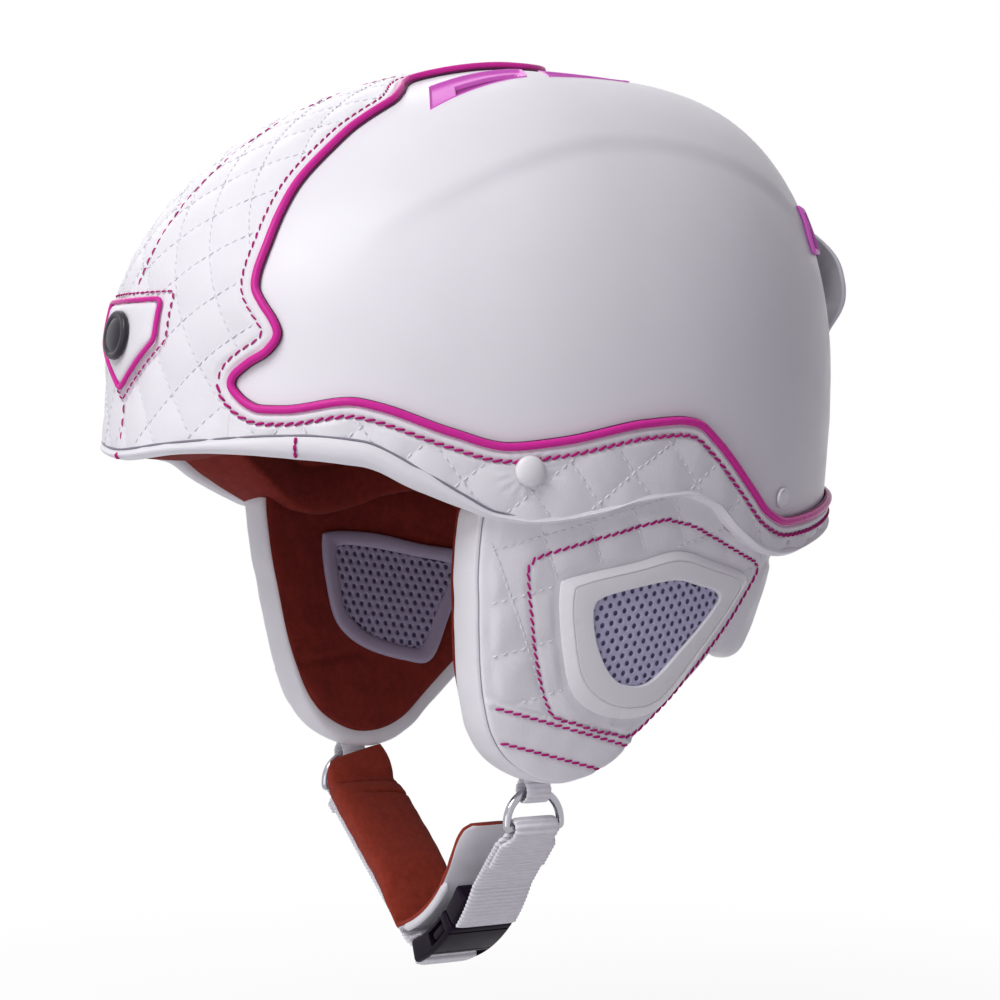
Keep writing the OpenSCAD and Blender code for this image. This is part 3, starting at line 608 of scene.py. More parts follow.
# Grey for seam cords: a dark seam round the ear pads, and painted shadow of the gap between band and binding.
SEAM_AND_SHADOW_GREY = plastic("seam_and_shadow_grey", (0.22, 0.20, 0.25), 0.6)
CHROME = plastic("chrome", (0.40, 0.39, 0.43), 0.14, 0.01, Metallic=1.0)
FOAM = plastic("foam_grey", (0.45, 0.45, 0.47), 0.9, 0.3)


def finish_piece(made, slot, *nodes, body="helmet"):
    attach(made, body)
    if nodes:
        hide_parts(*nodes)
    return made


# Shell

SHELL_TURNS = 288
SHELL_ROWS = 120
LINING_TURNS = 240
LINING_ROWS = 70
CROWN_CLOSER = 0.6
CROWN_END = 89.6
VENT_CUT = (95, 175)
VENT_FRONT = np.array([(37, -38), (54, -47), (47, -3), (29, 5)], float)
VENT_REAR = np.array([(27, 14), (46, 7), (35, 49), (18, 56)], float)


def dome_grid(low, rows, off):
    """Rows of points from the rim up to the crown, closer together towards the crown."""
    a = full_turn(len(low))[None, :]
    up = np.linspace(0, 1, rows)[:, None]
    rise = np.degrees(np.arccos(np.clip((1 - up) ** (1 / CROWN_CLOSER), 0, 1)))
    low = level(low)[None, :]
    t = np.minimum(low + rise * (90 - low) / 90, CROWN_END)
    return dome(a, t, off(a, t))


def over_rim(count):
    """Heights just over the rim, once round."""
    return rim_at(turned(full_turn(count))) + RIM_LIFT


def capped_dome(name, low, outside, inside, rows, finish):
    """A dome layer between two offsets, closed at the crown."""
    turns = len(low)
    k = rows * turns
    ring = list(range(turns))
    faces = grid_faces(rows, turns, True) + grid_faces(rows, turns, True, k, flip=True)
    faces += [[q, j, k + j, k + q] for j, q in zip(ring, ring[1:] + ring[:1])]
    faces += [[k - turns + j for j in ring], [2 * k - 1 - j for j in ring]]
    return mesh_object(name, [dome_grid(low, rows, off) for off in (outside, inside)], faces, finish)


def cut_away(made, cutter):
    """Takes one piece out of another."""
    cut = made.modifiers.new("cut", "BOOLEAN")
    cut.operation, cut.solver, cut.object = "DIFFERENCE", "EXACT", cutter
    settle(made)
    bpy.data.objects.remove(cutter)


def settle(made):
    """Applies a piece's modifiers."""
    made.data = bpy.data.meshes.new_from_object(made.evaluated_get(bpy.context.evaluated_depsgraph_get()))
    made.modifiers.clear()


def outer_shell():
    made = capped_dome("shell", over_rim(SHELL_TURNS), side_step,
                       lambda a, t: side_step(a, t) - SHELL_WALL, SHELL_ROWS, SHELL)
    cutters = []
    for side in (1, -1):
        for corners in (VENT_FRONT, VENT_REAR):
            ring = corners * (side, 1)
            cutters.append(loft("cut", [[(x, y, z) for x, y in ring] for z in VENT_CUT], SHELL))
    cut_away(made, joined("cut", cutters))
    shade_as_dome(made)
    return finish_piece(made, "shell_white", "outer_shell")


def shade_as_dome(made):
    """Normals of the smooth dome on its upper faces, so the cut-outs don't show in the shading."""
    mesh = made.data
    by_face = np.repeat(values(mesh.polygons, "normal"), values(mesh.polygons, "loop_total", 1, int), axis=0)
    index = values(mesh.loops, "vertex_index", 1, int)
    p = values(mesh.vertices, "co")[index] / MM
    own = values(mesh.vertices, "normal")[index]
    own = np.where((np.sum(own * by_face, -1) > 0.8)[:, None], own, by_face)
    smooth_n = dome_normals(p, 0.3)
    above = smooth((level(p[:, 2]) - crease(bearing(p)) - 4) / 6) * (np.sum(smooth_n * by_face, -1) > 0.9)
    mesh.normals_split_custom_set(unit(own + (smooth_n - own) * above[:, None]).tolist())


def crown_lining():
    def folds(a, t):
        seam = np.abs(np.sin(np.radians(3 * a + 90))) ** 0.35
        return LINING_IN - 0.9 * seam + 0.7 * ripple(a / 9, t / 7)
    made = capped_dome("crown_lining", over_rim(LINING_TURNS), lambda a, t: LINING_OUT + 0 * a * t,
                       folds, LINING_ROWS, LINING_RUST_PAINTED_SHADE)
    return finish_piece(made, "lining_rust", "crown_lining")


# Quilting and stitched rows

QUILT_POWER = 0.6


def quilted(f1, f2):
    """Height of quilting, 0 on the stitched lines where f1 or f2 is whole and 1 between them."""
    return np.abs(np.sin(math.pi * f1) * np.sin(math.pi * f2)) ** QUILT_POWER


def runs(path, normals, keep):
    """The stretches of a path where keep holds."""
    edges = np.flatnonzero(np.diff(np.concatenate([[0], keep.astype(int), [0]])))
    return [(path[i:j], normals[i:j]) for i, j in zip(edges[::2], edges[1::2]) if j - i > 3]


def on_dome(p, off):
    return p, dome_normals(p, off)


# The piping's run over the shell, and the leather beside it

PIPING_LIFT = 1.6
PIPING_SHADOW_R = 0.4
ROW_IN = 5.0
TRIM_BASE = 1.6
TRIM_PUFF = 0.9
JOIN_X = 51.0
BOLD_BELOW = 34.0
QUILT_THREAD = (2.3, 0.9, 0.26)


def piping_run():
    """The closed path of the piping: from the tongue's tip down the left, round the back and up the right."""
    b = np.concatenate([np.linspace(99.4, 60, 90), np.linspace(59.5, 12, 70), np.linspace(11.8, -3.3, 60)])
    brow_part = brow(panel_at(b) + (PIPING_LIFT + 0.3) * panel_slant(b), b, PIPING_LIFT)
    a = np.concatenate([np.linspace(29, 48, 40), np.linspace(48.5, 180, 220)])
    side_part = at_height(a, piping_at(a), PIPING_LIFT + side_step(a, 0))
    half = np.concatenate([brow(np.zeros(1), np.full(1, PANEL_TOP + 2.4), PIPING_LIFT), brow_part, side_part])
    path = np.concatenate([half, (half * (-1, 1, 1))[-2:0:-1]])
    return rounded(resampled(path, 1.0, True), 3, True)


def panel_slant(b):
    return np.minimum(np.hypot(1, (panel_at(b + 0.5) - panel_at(b - 0.5)) / 2.4), 3)


PIPING_PATH = piping_run()
PIPING_UP = dome_normals(PIPING_PATH, PIPING_LIFT)
TO_SHELL = np.cross(PIPING_UP, along(PIPING_PATH, True))
piping_tree = KDTree(len(PIPING_PATH))
for index, spot in enumerate(PIPING_PATH.tolist()):
    piping_tree.insert(spot, index)
piping_tree.balance()


def from_piping(points):
    """How far points lie from the middle of the piping."""
    far = [piping_tree.find(p)[2] for p in points.reshape(-1, 3).tolist()]
    return np.array(far).reshape(points.shape[:-1])


def trim_height(gap, puff, plain):
    """Offset of the leather: gap is the way to the piping, puff the quilting and plain 0 where that fades."""
    inside = smooth((gap - ROW_IN - 0.6) / 2.2) * plain
    off = TRIM_BASE + TRIM_PUFF * (puff * inside + 0.55 * (1 - inside))
    return off - 0.55 * np.exp(-((gap - ROW_IN) / 0.9) ** 2) - 0.8 * (1 - smooth((gap - 1.5) / 1.3))


def trim_rows():
    """The pink rows beside the piping: fine on the brow, bold round the rim."""
    row = rounded(resampled(PIPING_PATH - TO_SHELL * ROW_IN, 1.0, True), 6, True)
    row = np.concatenate([row, row[:1]])
    row = seated(row, TRIM_BASE + 0.2 + side_step(bearing(row), 0))
    ways = dome_normals(row, TRIM_BASE)
    low = row[:, 2] < BOLD_BELOW
    sew("panel_stitching", runs(row, ways, ~low), PINK_THREAD, 3.0, 0.5, 0.34, 10.0)
    sew("band_stitching", runs(row, ways, low), PINK_THREAD, 3.9, -0.4, 0.52, 17.0)


def sew_quilting(name, lines, off):
    """Pale thread along the quilting's lines on both sides, where they are kept and clear of the pink row."""
    pale = []
    for spots, keep in lines:
        keep = keep & (from_piping(spots) > ROW_IN + 1)
        for side in BOTH_SIDES:
            pale += runs(*on_dome(spots * side, off), keep)
    sew(name, pale, WHITE_THREAD, *QUILT_THREAD)


def shell_piping():
    made = tube("shell_piping", PIPING_PATH, PIPING_UP, PIPING_R, 18, PINK, True)
    finish_piece(made, "piping_pink", "shell_piping")
    # A thin dark cord along the piping's shell side, standing for its flange: painted shadow of the pinch
    # against the shell.
    edge = PIPING_PATH + TO_SHELL * (PIPING_R - 0.1) - PIPING_UP * 0.9
    finish_piece(tube("piping_painted_shadow", edge, PIPING_UP, PIPING_SHADOW_R, 8, PIPING_SHADOW_PINK, True), "piping_pink")


# Leather front panel with its tongue between the vents, quilted alike on both sides of its middle seam


def panel_foot(x):
    """Angle over the brow at which the panel meets the rim's roll."""
    a = np.linspace(-34, 34, 120)
    p = at_height(a, rim_at(turned(a)) - 0.6, TRIM_BASE)
    return np.interp(x, p[:, 0], -np.degrees(np.arctan2(EQUATOR_Z - p[:, 2], DOME_Y - p[:, 1])))


PANEL_B = np.linspace(PANEL_LOW, PANEL_TOP, 600)
PANEL_MID = brow(0 * PANEL_B, PANEL_B, PANEL_GAP + 1.2)
PANEL_RUN = run_along(PANEL_MID)
TONGUE_NECK = 58.0
RISING = (0.94, -8.4, 23.7)
FALLING = (-1.85, 41.0, 30.6)


def front_panel():
    rows = np.concatenate([np.linspace(PANEL_LOW, 0, 30, endpoint=False),
                           np.linspace(0, TONGUE_NECK, 110, endpoint=False),
                           np.linspace(TONGUE_NECK, PANEL_TOP, 90)])[:, None]
    w = panel_at(rows) + 0.9 * panel_slant(rows)
    w = w + (JOIN_X - w) * smooth(-2.6 - rows)
    x = w * np.linspace(-1, 1, 161)[None, :]
    b = rows * np.where(rows < 0, panel_foot(x) / PANEL_LOW, 1)
    q = np.interp(b, PANEL_B, PANEL_RUN)
    gap = from_piping(brow(x, b, TRIM_BASE))
    puff = quilted(*[(q - slope * np.abs(x) - start) / step for slope, start, step in (RISING, FALLING)])
    plain = 1 - smooth((-1 - rows) / 2) * (1 - smooth((JOIN_X - np.abs(x) - 0.5) / 6))
    off = trim_height(gap, puff, plain) + 0.07 * ripple(x / 4, q / 4) - 0.4 * np.exp(-(x / 0.8) ** 2)
    made = slab("leather_front_panel", brow(x, b, off), brow(x, b, PANEL_GAP), LEATHER)
    round_faces(made, LEATHER_SHARP)
    finish_piece(made, "leather_white", "leather_front_panel")

    lift = TRIM_BASE + 0.1
    x = np.linspace(1.0, 62, 320)
    lines = []
    for slope, start, step in (RISING, FALLING):
        for n in range(-4, 13):
            q = slope * x + start + n * step
            b = np.interp(q, PANEL_RUN, PANEL_B)
            lines.append((brow(x, b, lift), (q > 1.5) & (q < PANEL_RUN[-1] - 3) & (x < panel_at(b) + 1)))
    sew_quilting("panel_quilting", lines, lift)
    middle = brow(0 * PANEL_B, PANEL_B, lift + 0.1)
    bare = (middle[:, 2] < 28) | (middle[:, 2] > 68)
    seam = runs(*on_dome(middle, lift), bare & (PANEL_RUN > 2) & (PANEL_B < 96))
    sew("panel_seam", seam, PINK_THREAD, 3.2, 0.8, 0.3)


# Leather band round the rim and the roll under it

PER_TURN = 1.95
BAND_UP = (4.9, 23.5)
BAND_DOWN = (1.55, 26.3)
SNAP_TURN = 73.0
SNAP_RISE = 4.0


def rim_band():
    a = np.linspace(BAND_START - 0.7, 360.7 - BAND_START, 1200)[None, :]
    f = np.linspace(0, 1, 44)[:, None]
    turn = turned(a)
    low = rim_at(turn) - 0.6
    slant = np.hypot(1, (piping_at(turn + 0.5) - piping_at(turn - 0.5)) / PER_TURN)
    z = low + f * (piping_at(turn) - 0.9 * slant - low)
    gap = from_piping(at_height(a, z, TRIM_BASE + side_step(a, 0)))
    p = PER_TURN * (turn - 90)
    puff = quilted((z - p - BAND_UP[0]) / BAND_UP[1], (z + BAND_DOWN[0] * p) / BAND_DOWN[1])
    off = trim_height(gap, puff, smooth((turn - BAND_START) / 3)) + 0.1 * ripple(p / 2.2, z / 3)
    off = off - 0.15 * smooth((BAND_START + 0.4 - turn) / 0.4)
    aside, above = p - PER_TURN * (SNAP_TURN - 90), z - SNAP_RISE
    ring = np.exp(-((np.hypot(aside, above) - 7.5) / 2.6) ** 2)
    off = off + 0.12 * np.cos(15 * np.arctan2(above, aside)) * ring + side_step(a, 0)
    made = slab("leather_rim_band", at_height(a, z, off), at_height(a, z, FIT_GAP + side_step(a, 0)), LEATHER)
    round_faces(made, LEATHER_SHARP)
    finish_piece(made, "leather_white", "leather_rim_band")

    z = np.linspace(-29, 36, 280)
    lines = []
    for n in range(-9, 10):
        for p in (z - BAND_UP[0] - n * BAND_UP[1], (n * BAND_DOWN[1] - z) / BAND_DOWN[0]):
            turn = np.clip(90 + p / PER_TURN, 0, 180)
            keep = (turn > BAND_START + 0.5) & (turn < 179.5)
            keep &= (z > rim_at(turn) + 0.8) & (z < piping_at(turn))
            lines.append((at_height(turn, z, TRIM_BASE + 0.1 + side_step(turn, 0)), keep))
    sew_quilting("band_quilting", lines, TRIM_BASE)


BINDING_RING = ((0.9, 1.5, 1), (0, 2.5, 1), (-1.1, 2.9, 1), (-2.5, 1.9, 1), (-3.4, -1.0, 0),
                (-2.9, -3.4, 0), (-1.5, -4.6, 0), (0, -4.0, 0))
RIM_LINING_RING = ((-2.0, -3.4, 1), (-2.6, -6.5, 0.8), (-3.0, -12, 0.5), (-3.2, -18, 0.2),
                   (-3.1, -24, 0), (-2.2, -27.8, 0), (0, -29.2, 0), (6, -29.3, 0), (12, -28.8, 0),
                   (17, -27.4, 0), (17, -26.6, 0), (6, -27.2, 0), (0, -26.4, 0), (-1.6, -22, 0),
                   (-1.6, -12, 0.3), (-1.0, -5.0, 0.6))
BINDING_DEPTH = [(0, 0.8), (13, 0.82), (22, 1.0), (31, 1.5), (36, 1.85), (41, 2.15), (47, 2.25),
                 (54, 2.2), (59, 1.8), (64, 1.1), (70, 0.45), (78, 0.35), (95, 0.35), (106, 0.55),
                 (181, 0.6)]
RIM_A = full_turn(480)
RIM_DEEP = curve_through(BINDING_DEPTH)(turned(RIM_A))
CROSS_TURN = 39.5
FRONT_CROSS = -2.6
SIDE_CROSS = -6.6
SEAM_REACH = 74.0


def rim_binding():
    z = rim_at(turned(RIM_A)) - FIT_GAP
    rings = [at_height(RIM_A, z + drop * (RIM_DEEP if drop < 0 else 1), off + step * side_step(RIM_A, 0))
             for drop, off, step in BINDING_RING]
    rings = np.swapaxes(refined(rings, 4, True), 0, 1)
    middle = rings.mean(axis=1, keepdims=True)
    pucker = 0.012 * ripple(RIM_A * 0.9, RIM_A * 0.13)[:, None, None]
    made = loft("rim_binding", rings + (rings - middle) * pucker, SMOOTH_LEATHER, closed=True)
    finish_piece(made, "leather_white", "rim_binding")
    cross = []
    for turn, low in ((0.0, FRONT_CROSS), (CROSS_TURN, SIDE_CROSS), (-CROSS_TURN, SIDE_CROSS)):
        drop = np.linspace(0.4, low, 30)
        at = np.array([SIDE_CROSS, -5.0, -2.4, 0.4]) * low / SIDE_CROSS
        off = np.interp(drop, at, [1.4, 2.6, 3.1, 2.5])
        cross.append(on_dome(at_height(np.full(30, turn), rim_at(turned(turn)) + drop, off), 2.4))
    sew("rim_cross_stitching", cross, PINK_THREAD, 2.6, -0.2, 0.6, 4.0)
    # Grey cord along the seam between band and binding: the seam line, darkened as painted shadow of the gap
    # there.
    a = np.linspace(-SEAM_REACH, SEAM_REACH, 300)
    line = at_height(a, rim_at(turned(a)) - FIT_GAP + 1.15, 2.05 + side_step(a, 0))
    thin = 0.42 * smooth((SEAM_REACH - np.abs(a)) / 8 + 0.02)
    finish_piece(tube("rim_seam", line, dome_normals(line, 2), thin, 8, SEAM_AND_SHADOW_GREY), "leather_white")


def rim_lining():
    """Rust fabric from the roll, over the rim's underside and up the inside, with a few soft folds."""
    z = rim_at(turned(RIM_A))
    rings = refined([at_height(RIM_A, z + rise * (1 + share * (RIM_DEEP - 1)), np.full(len(RIM_A), off))
                     for rise, off, share in RIM_LINING_RING], 4, True)
    rings = np.swapaxes(rings, 0, 1)
    folds = 0.35 * ripple(RIM_A[:, None] / 2.3, np.linspace(0, 9, rings.shape[1])[None])
    folds = folds * (rings[..., 2] > z[:, None] + 1)
    rings = rings - dome_normals(rings, LINING_IN) * folds[..., None]
    made = loft("rim_lining", rings, LINING_RUST_PAINTED_SHADE, closed=True)
    finish_piece(made, "lining_rust")


# Shield patch and badge

PATCH_CORNERS = np.array([(-21, 63), (21, 63), (21, 49), (0, 32.5), (-21, 49)], float)
PATCH_MIDDLE = np.array([0, 51.0])
PATCH_T = 1.6
PATCH_CORD_R = 0.9
PATCH_SECTION = [(0.04, 0.55), (0.5, 0.5), (0.8, 0.3), (0.88, 0.1), (0.93, -0.2), (0.97, -0.5),
                 (1.0, -1.0), (1.0, -1.6), (0.5, -1.6), (0.04, -1.6)]
BADGE_PROFILE = [(0, 0), (8.5, 0), (8.75, 0.25), (8.75, 1.3), (8.6, 1.75), (8.2, 2.1), (7.7, 2.2),
                 (7.0, 2.2), (6.7, 2.1), (6.5, 1.7), (6.3, 1.65), (5.6, 2.1), (4.6, 2.5), (3.4, 2.8),
                 (1.8, 2.95), (0, 3)]
BADGE_TILT = 8.0


def shield(grow):
    """Outline of the shield in sideways and upright measures, its corners rounded."""
    ring = PATCH_MIDDLE + grow * (PATCH_CORNERS - PATCH_MIDDLE)
    return rounded(resampled(ring, 0.6, True), 14, True)


def on_brow(ring, off):
    return at_height(np.degrees(np.arcsin(ring[..., 0] / HALF_W)), ring[..., 1], off)


def badge_patch():
    edge = shield(0.94) - PATCH_MIDDLE
    rings = [on_brow(PATCH_MIDDLE + f * edge, PATCH_OFF + PATCH_T + h) for f, h in PATCH_SECTION]
    finish_piece(loft("badge_patch", rings, SMOOTH_LEATHER), "leather_white", "badge_patch")
    path = on_brow(shield(1.03), PATCH_OFF + PATCH_CORD_R)
    cord = tube("badge_patch_piping", path, dome_normals(path, PATCH_OFF), PATCH_CORD_R, 12, PINK, True)
    finish_piece(cord, "piping_pink", "badge_patch_piping")
    row = on_brow(shield(1.24), TRIM_BASE + TRIM_PUFF)
    row = np.concatenate([row, row[:1]])
    low = row[:, 2] < 66
    sew("badge_stitching", runs(*on_dome(row, TRIM_BASE), low), PINK_THREAD, 2.4, 0.9, 0.34)


def front_badge():
    bottom = at_height(0.0, PATCH_MIDDLE[1], PATCH_OFF + PATCH_T + 0.6)
    tilt = math.radians(BADGE_TILT)
    place = frame_at(bottom, (0, -math.cos(tilt), math.sin(tilt)))
    made = lathe("front_badge", BADGE_PROFILE, BADGE, place, 50, 96)
    finish_piece(made, "badge_dark", "front_badge")


# Vents

VENT_LIP = 0.45
VENT_PLATE = -0.9
VENT_SLOT = -2.75
EXHAUST_TURNS = (141, 149)
EXHAUST_HEIGHTS = (84, 102)


def vent_insert(name, corners):
    u, v = np.linspace(0, 1, 61)[None, :], np.linspace(0, 1, 121)[:, None]
    low = (1 - u)[..., None] * corners[0] + u[..., None] * corners[1]
    high = (1 - u)[..., None] * corners[3] + u[..., None] * corners[2]
    p = (1 - v)[..., None] * low + v[..., None] * high
    wide = np.linalg.norm(corners[1] - corners[0])
    long = np.linalg.norm(corners[3] - corners[0])
    edge = np.minimum(np.minimum(u, 1 - u) * wide, np.minimum(v, 1 - v) * long)
    slot = np.minimum(np.minimum((u - 0.36) * wide, (0.9 - u) * wide),
                      np.minimum((v - 0.27) * long, (0.93 - v) * long))
    off = VENT_LIP + (VENT_PLATE - VENT_LIP) * smooth(edge / 1.3)
    off = off + (VENT_SLOT - VENT_PLATE) * smooth(slot / 0.7)
    made = slab(name, over(p[..., 0], p[..., 1], off), over(p[..., 0], p[..., 1], 0.05 - SHELL_WALL), VENT)
    # The slot's floor in the dark pink: painted shade of the opening through the vent.
    second_finish(made, VENT_SLOT_SHADE, slot[:-1, :-1] > 0.2)
    face_out(made)
    other = name.replace("left", "right")
    for piece, node_name in ((mirrored(made, other), other), (made, name)):
        finish_piece(piece, "vent_pink", node_name)


def exhaust_vents():
    (first, last), (low, high) = EXHAUST_TURNS, EXHAUST_HEIGHTS
    a, z = np.linspace(first, last, 41)[None, :], np.linspace(low, high, 61)[:, None]
    edge = np.minimum(np.minimum(a - first, last - a) * 2.2, np.minimum(z - low, high - z))
    base = FIT_GAP + side_step(a, level(z))
    lip = 1.5 - 1.3 * smooth((edge - 1.5) / 1.2) - 0.6 * (1 - smooth(edge / 0.8))
    made = slab("exhaust_vents", at_height(a, z, base + lip), at_height(a, z, base), VENT)
    # The middle of each exhaust vent in the dark pink: painted shade of its opening.
    second_finish(made, VENT_SLOT_SHADE, edge[:-1, :-1] > 2.2)
    pair = joined("exhaust_vents", [made, mirrored(made, "exhaust_right")])
    finish_piece(pair, "vent_pink", "exhaust_vents")


# Fasteners and the goggle strap loop


def cap_profile(d, h):
    """A domed cap with a narrow flat rim."""
    r = d / 2
    return [(0, 0), (r - 0.1, 0), (r, 0.12), (r, 0.3 * h)] + [
        (r * math.cos(k), h * (0.3 + 0.7 * math.sin(k))) for k in np.linspace(0.1, math.pi / 2, 14)]


RIVET_PROFILE = [(0, 0), (3.6, 0), (3.7, 0.1), (3.7, 0.9), (3.55, 1.1), (3.2, 1.15), (3.0, 0.8),
                 (2.85, 0.8), (2.65, 1.15), (2.2, 1.25), (1.2, 1.3), (0, 1.3)]


def side_caps(name, turn, z, off, profile):
    spot = at_height(turn, z, off + side_step(turn, 0))
    made = lathe(name, profile, FRAME_WHITE, frame_at(spot, dome_normals(spot, off)), 40)
    pair = joined(name, [made, mirrored(made, name + "_right")])
    finish_piece(pair, "plastic_white", name)


LOOP_HALF_W = 28.0
LOOP_HALF = math.degrees(math.asin(LOOP_HALF_W / HALF_W))
LOOP_ROW_IN = 3.5
LOOP_BASE_T = 1.5
LOOP_GAP = 12.0
FLAP_T = 2.0
SNAP_Z = 49.0
STUD_PROFILE = [(0, 0), (4, 0), (4, 0.5), (3, 0.7), (3, 1.1), (2.8, 1.2), (0, 1.2)]
FLAP_HEIGHTS = (37, 45, 53, 56, 60, 64, 69, 75, 80, 84, 88, 91, 94, 96.5)
FLAP_ROOM = (0.16, 0.16, 0.16, 0.26, 0.5, 0.74, 0.93, 1, 0.99, 0.93, 0.78, 0.6, 0.38, 0.14)
BASE_HEIGHTS = (41, 55, 67, 79, 89, 97.5, 98.2, 102, 106)
BASE_OFFS = (1.5, 1.5, 1.5, 1.5, 1.5, 1.5, 4, 3.8, 1.8)


def loop_strip(name, heights, low, high, body):
    """A leather strip across the back of the shell, with rounded edges and a stitched row along each side."""
    under, above = (curve_through(list(zip(heights, offs))) for offs in (low, high))
    z, k = np.linspace(heights[0], heights[-1], 150)[:, None], np.linspace(-1, 1, 61)[None, :]
    edge = np.minimum((1 - np.abs(k)) * LOOP_HALF_W, np.minimum(z - heights[0], heights[-1] - z) + 0 * k)
    off = above(z) - 0.7 * (1 - smooth(edge / 1.2)) - 0.3 * np.exp(-((edge - LOOP_ROW_IN) / 0.7) ** 2)
    a = 180 + LOOP_HALF * k
    made = slab(name, at_height(a, z, off), at_height(a, z, under(z) + 0 * k), SMOOTH_LEATHER)
    finish_piece(made, "leather_white", name, body=body)
    fine = np.linspace(heights[0] + LOOP_ROW_IN, heights[-1] - LOOP_ROW_IN, 300)
    row_turn = LOOP_HALF * (1 - LOOP_ROW_IN / LOOP_HALF_W)
    rows = []
    for side in (-1, 1):
        spot = np.full(300, 180 + side * row_turn)
        rows.append(on_dome(at_height(spot, fine, above(fine) - 0.2), 3.0))
    across = 180 + np.linspace(-1, 1, 200) * row_turn
    rows.append(on_dome(at_height(across, np.full(200, fine[0]), above(fine[0]) - 0.2), 3.0))
    sew(name + "_stitching", rows, PINK_THREAD, 2.6, 1.0, 0.32, body=body)


def goggle_loop():
    loop_strip("goggle_loop_base", BASE_HEIGHTS, [FIT_GAP] * len(BASE_HEIGHTS), BASE_OFFS, "helmet")
    low = [LOOP_BASE_T + f * LOOP_GAP for f in FLAP_ROOM]
    loop_strip("goggle_loop_flap", FLAP_HEIGHTS, low, [o + FLAP_T for o in low], "goggle_flap")
    cap_off = LOOP_BASE_T + FLAP_ROOM[1] * LOOP_GAP + 2.6
    for name, profile, off, body in (("goggle_snap_stud", STUD_PROFILE, 1.6, "helmet"),
                                     ("goggle_snap_cap", cap_profile(13, 2.4), cap_off, "goggle_flap")):
        made = lathe(name, profile, CHROME, frame_at(at_height(180.0, SNAP_Z, off), (0, 1, 0)))
        finish_piece(made, "chrome", name, body=body)


# Padding: covers blown up between their seams

PAD_PRESSURE = 4.0
CLOTH_FRAMES = 20
NECK_FROM = 126.0
NECK_H = 42.0
NECK_T = 15.0
NECK_STEPS = 84
NECK_SIDES = 28
BROW_HALF = 58.0
BROW_H = 30.0
BROW_T = 7.0
BROW_STEPS = 72
BROW_SIDES = 24


def inflated(name, rings, pinned, cap):
    """The rings of a pad after its cover has swelled as cloth under pressure, held at its seams."""
    rings = np.asarray(rings, float)
    made = loft(name, rings, LEATHER)
    made.vertex_groups.new(name="seam").add(np.flatnonzero(pinned.reshape(-1)).tolist(), 1.0, "REPLACE")
    settings = made.modifiers.new("cloth", "CLOTH").settings
    settings.quality = 6
    settings.mass = 0.2
    settings.use_pressure = True
    settings.uniform_pressure_force = PAD_PRESSURE
    settings.effector_weights.gravity = 0
    settings.vertex_group_mass = "seam"
    for number in range(1, CLOTH_FRAMES + 1):
        scene.frame_set(number)
    mesh = made.evaluated_get(bpy.context.evaluated_depsgraph_get()).to_mesh()
    move = values(mesh.vertices, "co").reshape(rings.shape) / MM - rings
    bpy.data.objects.remove(made)
    scene.frame_set(1)
    far = np.linalg.norm(move, axis=-1, keepdims=True)
    return rings + move * np.minimum(1, cap / np.maximum(far, 1e-9))


def push(grid, height):
    """Moves a grid of rings along its own outward normals."""
    wide = np.concatenate([grid[:, -1:], grid, grid[:, :1]], 1)
    n = outward_normals(wide)[:, 1:-1]
    spread = grid - grid.reshape(-1, 3).mean(0)
    n = n * np.sign(np.sum(n * spread))
    return grid + n * height[..., None], n


def neck_pad():
    rings = []
    w = circle(NECK_SIDES)
    for j in range(NECK_STEPS + 1):
        a = NECK_FROM + (360 - 2 * NECK_FROM) * j / NECK_STEPS
        f = min(min(j, NECK_STEPS - j) / 12, 1)
        grow = 0.45 + 0.55 * math.sqrt(f * (2 - f))
        top = rim_at(turned(a)) - 4.1
        z = top - NECK_H / 2 + grow * NECK_H * 0.5 * spow(-np.sin(w), 0.7)
        mid = -16 - 9 * smooth((top - z) / NECK_H)
        off = mid - NECK_T / 2 + grow * NECK_T / 2 * spow(np.cos(w), 0.7)
        p = at_height(np.full(NECK_SIDES, a), np.maximum(z, -28), off)
        p[:, 2] = z
        rings.append(p)
    seam = np.zeros((NECK_STEPS + 1, NECK_SIDES), bool)
    seam[:, [NECK_SIDES // 4, 3 * NECK_SIDES // 4]] = True
    seam[[0, 1, -2, -1]] = True
    grid = finer(inflated("neck_pad", rings, seam, 2.0), 2, 3)
    drop = rim_at(turned(180.0)) - grid[..., 2]
    row = np.linspace(0, 1, len(grid))[:, None]
    height = 0.2 * ripple(row * 60, drop / 6) - 0.9 * np.exp(-((drop - 24) / 1.6) ** 2)
    made = loft("neck_pad", push(grid, height)[0], SMOOTH_LEATHER)
    finish_piece(made, "leather_white", "neck_pad")


def brow_pad():
    rings = []
    w = circle(BROW_SIDES)
    for j in range(BROW_STEPS + 1):
        a = BROW_HALF * (1 - 2 * j / BROW_STEPS)
        grow = 0.35 + 0.65 * math.sqrt(abs(math.sin(math.pi * j / BROW_STEPS)))
        z = rim_at(turned(a)) + 8 + BROW_H / 2 * (1 + grow * spow(np.sin(w), 0.8))
        off = LINING_IN - 1.6 + BROW_T / 2 * grow * (spow(np.cos(w), 0.8) - 1)
        rings.append(at_height(np.full(BROW_SIDES, a), z, off))
    seam = np.zeros((BROW_STEPS + 1, BROW_SIDES), bool)
    seam[:, [BROW_SIDES // 4, 3 * BROW_SIDES // 4]] = True
    grid = finer(inflated("brow_pad", rings, seam, 1.5), 2, 2)
    row = np.linspace(0, 2 * BROW_STEPS + 2, len(grid))[:, None]
    made = loft("brow_pad", push(grid, 0.35 * ripple(row / 3, grid[..., 2] / 5))[0], LINING_RUST_PAINTED_SHADE)
    finish_piece(made, "lining_rust", "brow_pad")


# Ear pads, in measures of y and z on the pad's face

